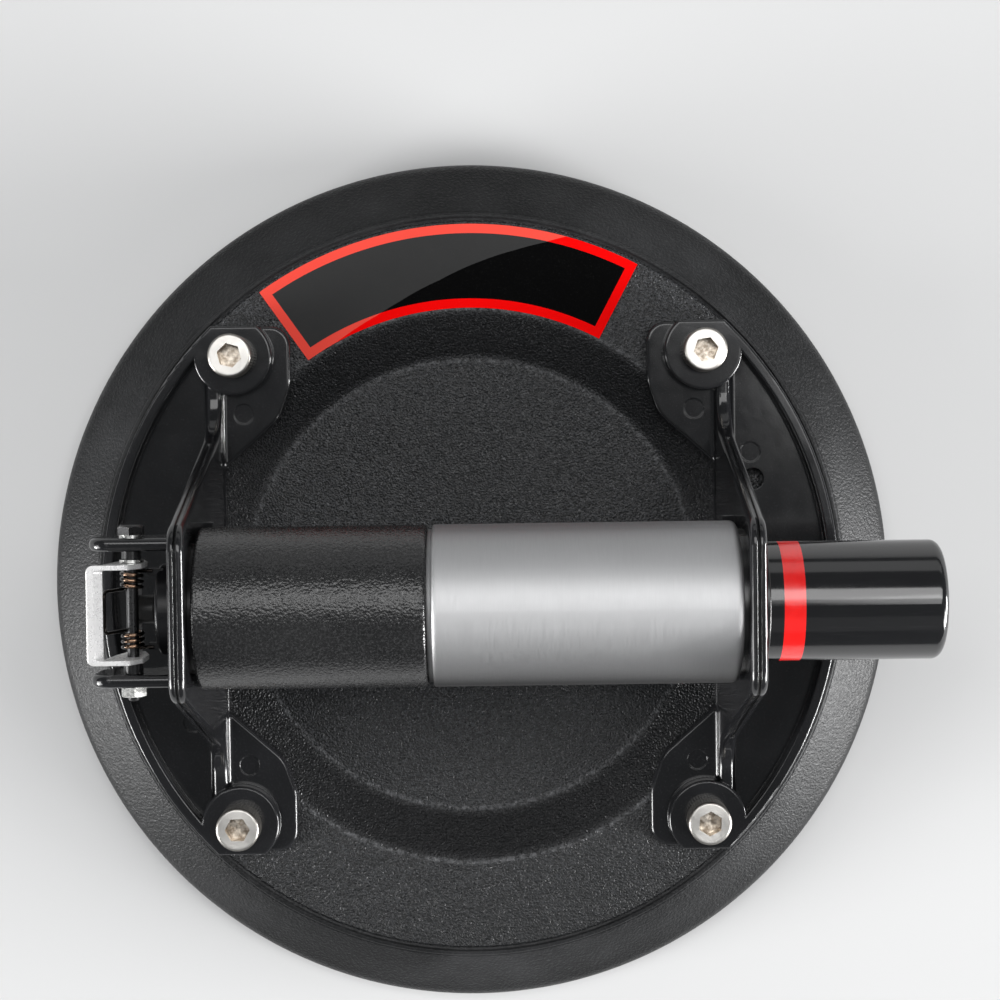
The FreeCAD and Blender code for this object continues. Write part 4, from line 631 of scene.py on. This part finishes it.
def build_label():
    r0, r1, rim = 65.2, 84.7, 2.15
    low, top = 18.5, 18.8
    a_from, a_to = 62.0, 125.0
    rim_low, rim_high = r0 + rim, r1 - rim
    # the end borders run parallel to the ends, so their angle depends on the radius
    columns = 260
    bm = bmesh.new()
    known = {}

    def vert(r, angle, z):
        t = math.radians(angle)
        p = (round(r * math.cos(t), 4), round(r * math.sin(t), 4), z)
        if p not in known:
            known[p] = bm.verts.new((p[0] * MM, p[1] * MM, p[2] * MM))
        return known[p]

    def patch(loop, index):
        loop = [v for k, v in enumerate(loop) if v is not loop[k - 1]]
        if len(set(loop)) < 3:
            return
        try:
            bm.faces.new(loop).material_index = index
        except ValueError:
            pass

    def angle_at(u, r):
        """u runs 0..1 over the field and outside it over the end borders."""
        side = math.degrees(rim / r)
        left, right = a_to - side, a_from + side
        if u < 0:
            return left + side * -u
        if u > 1:
            return right - side * (u - 1)
        return left + (right - left) * u

    us = [-1.0, -0.5] + [k / columns for k in range(columns + 1)] + [1.5, 2.0]
    corners = [(r0, rim_low, True), (rim_low, rim_high, False), (rim_high, r1, True)]
    for u, w in zip(us, us[1:]):
        ending = u < 0 or w > 1
        for a, b, on_rim in corners:
            red = ending or on_rim
            lights, darks = (0, 1) if red else (2, 3)
            sa = min(max(sweep_at(angle_at(u, a)), a), b)
            sb = min(max(sweep_at(angle_at(w, a)), a), b)
            # below the sweep: full colour; above it: the paler print, a painted sheen
            patch([vert(a, angle_at(u, a), top), vert(sa, angle_at(u, sa), top),
                   vert(sb, angle_at(w, sb), top), vert(a, angle_at(w, a), top)], darks)
            patch([vert(sa, angle_at(u, sa), top), vert(b, angle_at(u, b), top),
                   vert(b, angle_at(w, b), top), vert(sb, angle_at(w, sb), top)], lights)
        for r in (r0, r1):
            patch([vert(r, angle_at(u, r), top), vert(r, angle_at(w, r), top),
                   vert(r, angle_at(w, r), low), vert(r, angle_at(u, r), low)], 1)
        patch([vert(r0, angle_at(u, r0), low), vert(r1, angle_at(u, r1), low),
               vert(r1, angle_at(w, r1), low), vert(r0, angle_at(w, r0), low)], 1)
    for u in (us[0], us[-1]):
        radii = sorted({r0, rim_low, rim_high, r1})
        for a, b in zip(radii, radii[1:]):
            patch([vert(a, angle_at(u, a), top), vert(b, angle_at(u, b), top),
                   vert(b, angle_at(u, b), low), vert(a, angle_at(u, a), low)], 1)
    return new_object("label_face", bm, [
        film("label_painted_sheen_red", (0.95, 0.085, 0.06)), film("label_red", (0.98, 0.001, 0.001)),
        film("label_painted_sheen_field", (0.040, 0.040, 0.040)), film("label_field", (0.0012, 0.0012, 0.0013))], 20.0)


label_face = build_label()
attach(label_face, "cup_and_handle")
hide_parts("label_plate")


# ---------------------------------------------------------------------------
# Floor, sky and studio lights
# ---------------------------------------------------------------------------
def build_floor():
    bm = bmesh.new()
    size = 3.0
    corners = [bm.verts.new((x * size, y * size, 0.0)) for x, y in ((-1, -1), (1, -1), (1, 1), (-1, 1))]
    bm.faces.new(corners)
    m = Shade("floor")
    m.set(Base_Color=m.mix(m.noise(6.0, 2.0), (0.648, 0.648, 0.648), (0.658, 0.658, 0.658)), Roughness=0.9)
    m.set(IOR=1.3)
    return new_object("floor", bm, [m.mat])


build_floor()

world = bpy.data.worlds.new("studio")
bpy.context.scene.world = world
world.use_nodes = True
world.node_tree.nodes["Background"].inputs["Color"].default_value = (0.92, 0.96, 1.0, 1.0)
world.node_tree.nodes["Background"].inputs["Strength"].default_value = 0.16


def softbox(name, azimuth, elevation, distance, wide, high, radiance, roll=0.0, aim=(0.0, 0.0, 0.03)):
    data = bpy.data.lights.new(name, "AREA")
    data.shape = "RECTANGLE"
    data.size, data.size_y = wide, high
    data.energy = radiance * math.pi * wide * high
    obj = bpy.data.objects.new(name, data)
    bpy.context.scene.collection.objects.link(obj)
    a, e = math.radians(azimuth), math.radians(elevation)
    way = Vector((math.cos(e) * math.cos(a), math.cos(e) * math.sin(a), math.sin(e)))
    obj.location = Vector(aim) + way * distance
    obj.rotation_euler = (way.to_track_quat("Z", "Y") @ Quaternion((0.0, 0.0, 1.0), math.radians(roll))).to_euler()
    obj.visible_camera = False
    return obj


softbox("top", 86.0, 73.5, 1.75, 1.98, 0.62, 3.5)
softbox("top_right", 13.2, 69.3, 1.20, 0.30, 0.30, 2.3, 42.5)
softbox("top_left", 194.0, 68.5, 1.18, 0.15, 0.20, 0.8)
softbox("right", 334.0, 17.0, 1.75, 0.66, 0.78, 11.5)
softbox("low_right", 346.0, 7.0, 1.75, 1.0, 0.26, 72.0)
softbox("left", 199.0, 17.0, 1.75, 0.84, 0.78, 10.3)
softbox("low_left", 200.0, 7.0, 1.75, 0.6, 0.26, 46.0)
softbox("far_fill", 84.0, 19.0, 1.75, 2.4, 0.7, 0.55)
softbox("near_fill", 270.0, 48.0, 1.75, 2.2, 0.9, 0.12)

bpy.context.scene.view_settings.view_transform = "Standard"
bpy.context.scene.view_settings.look = "None"
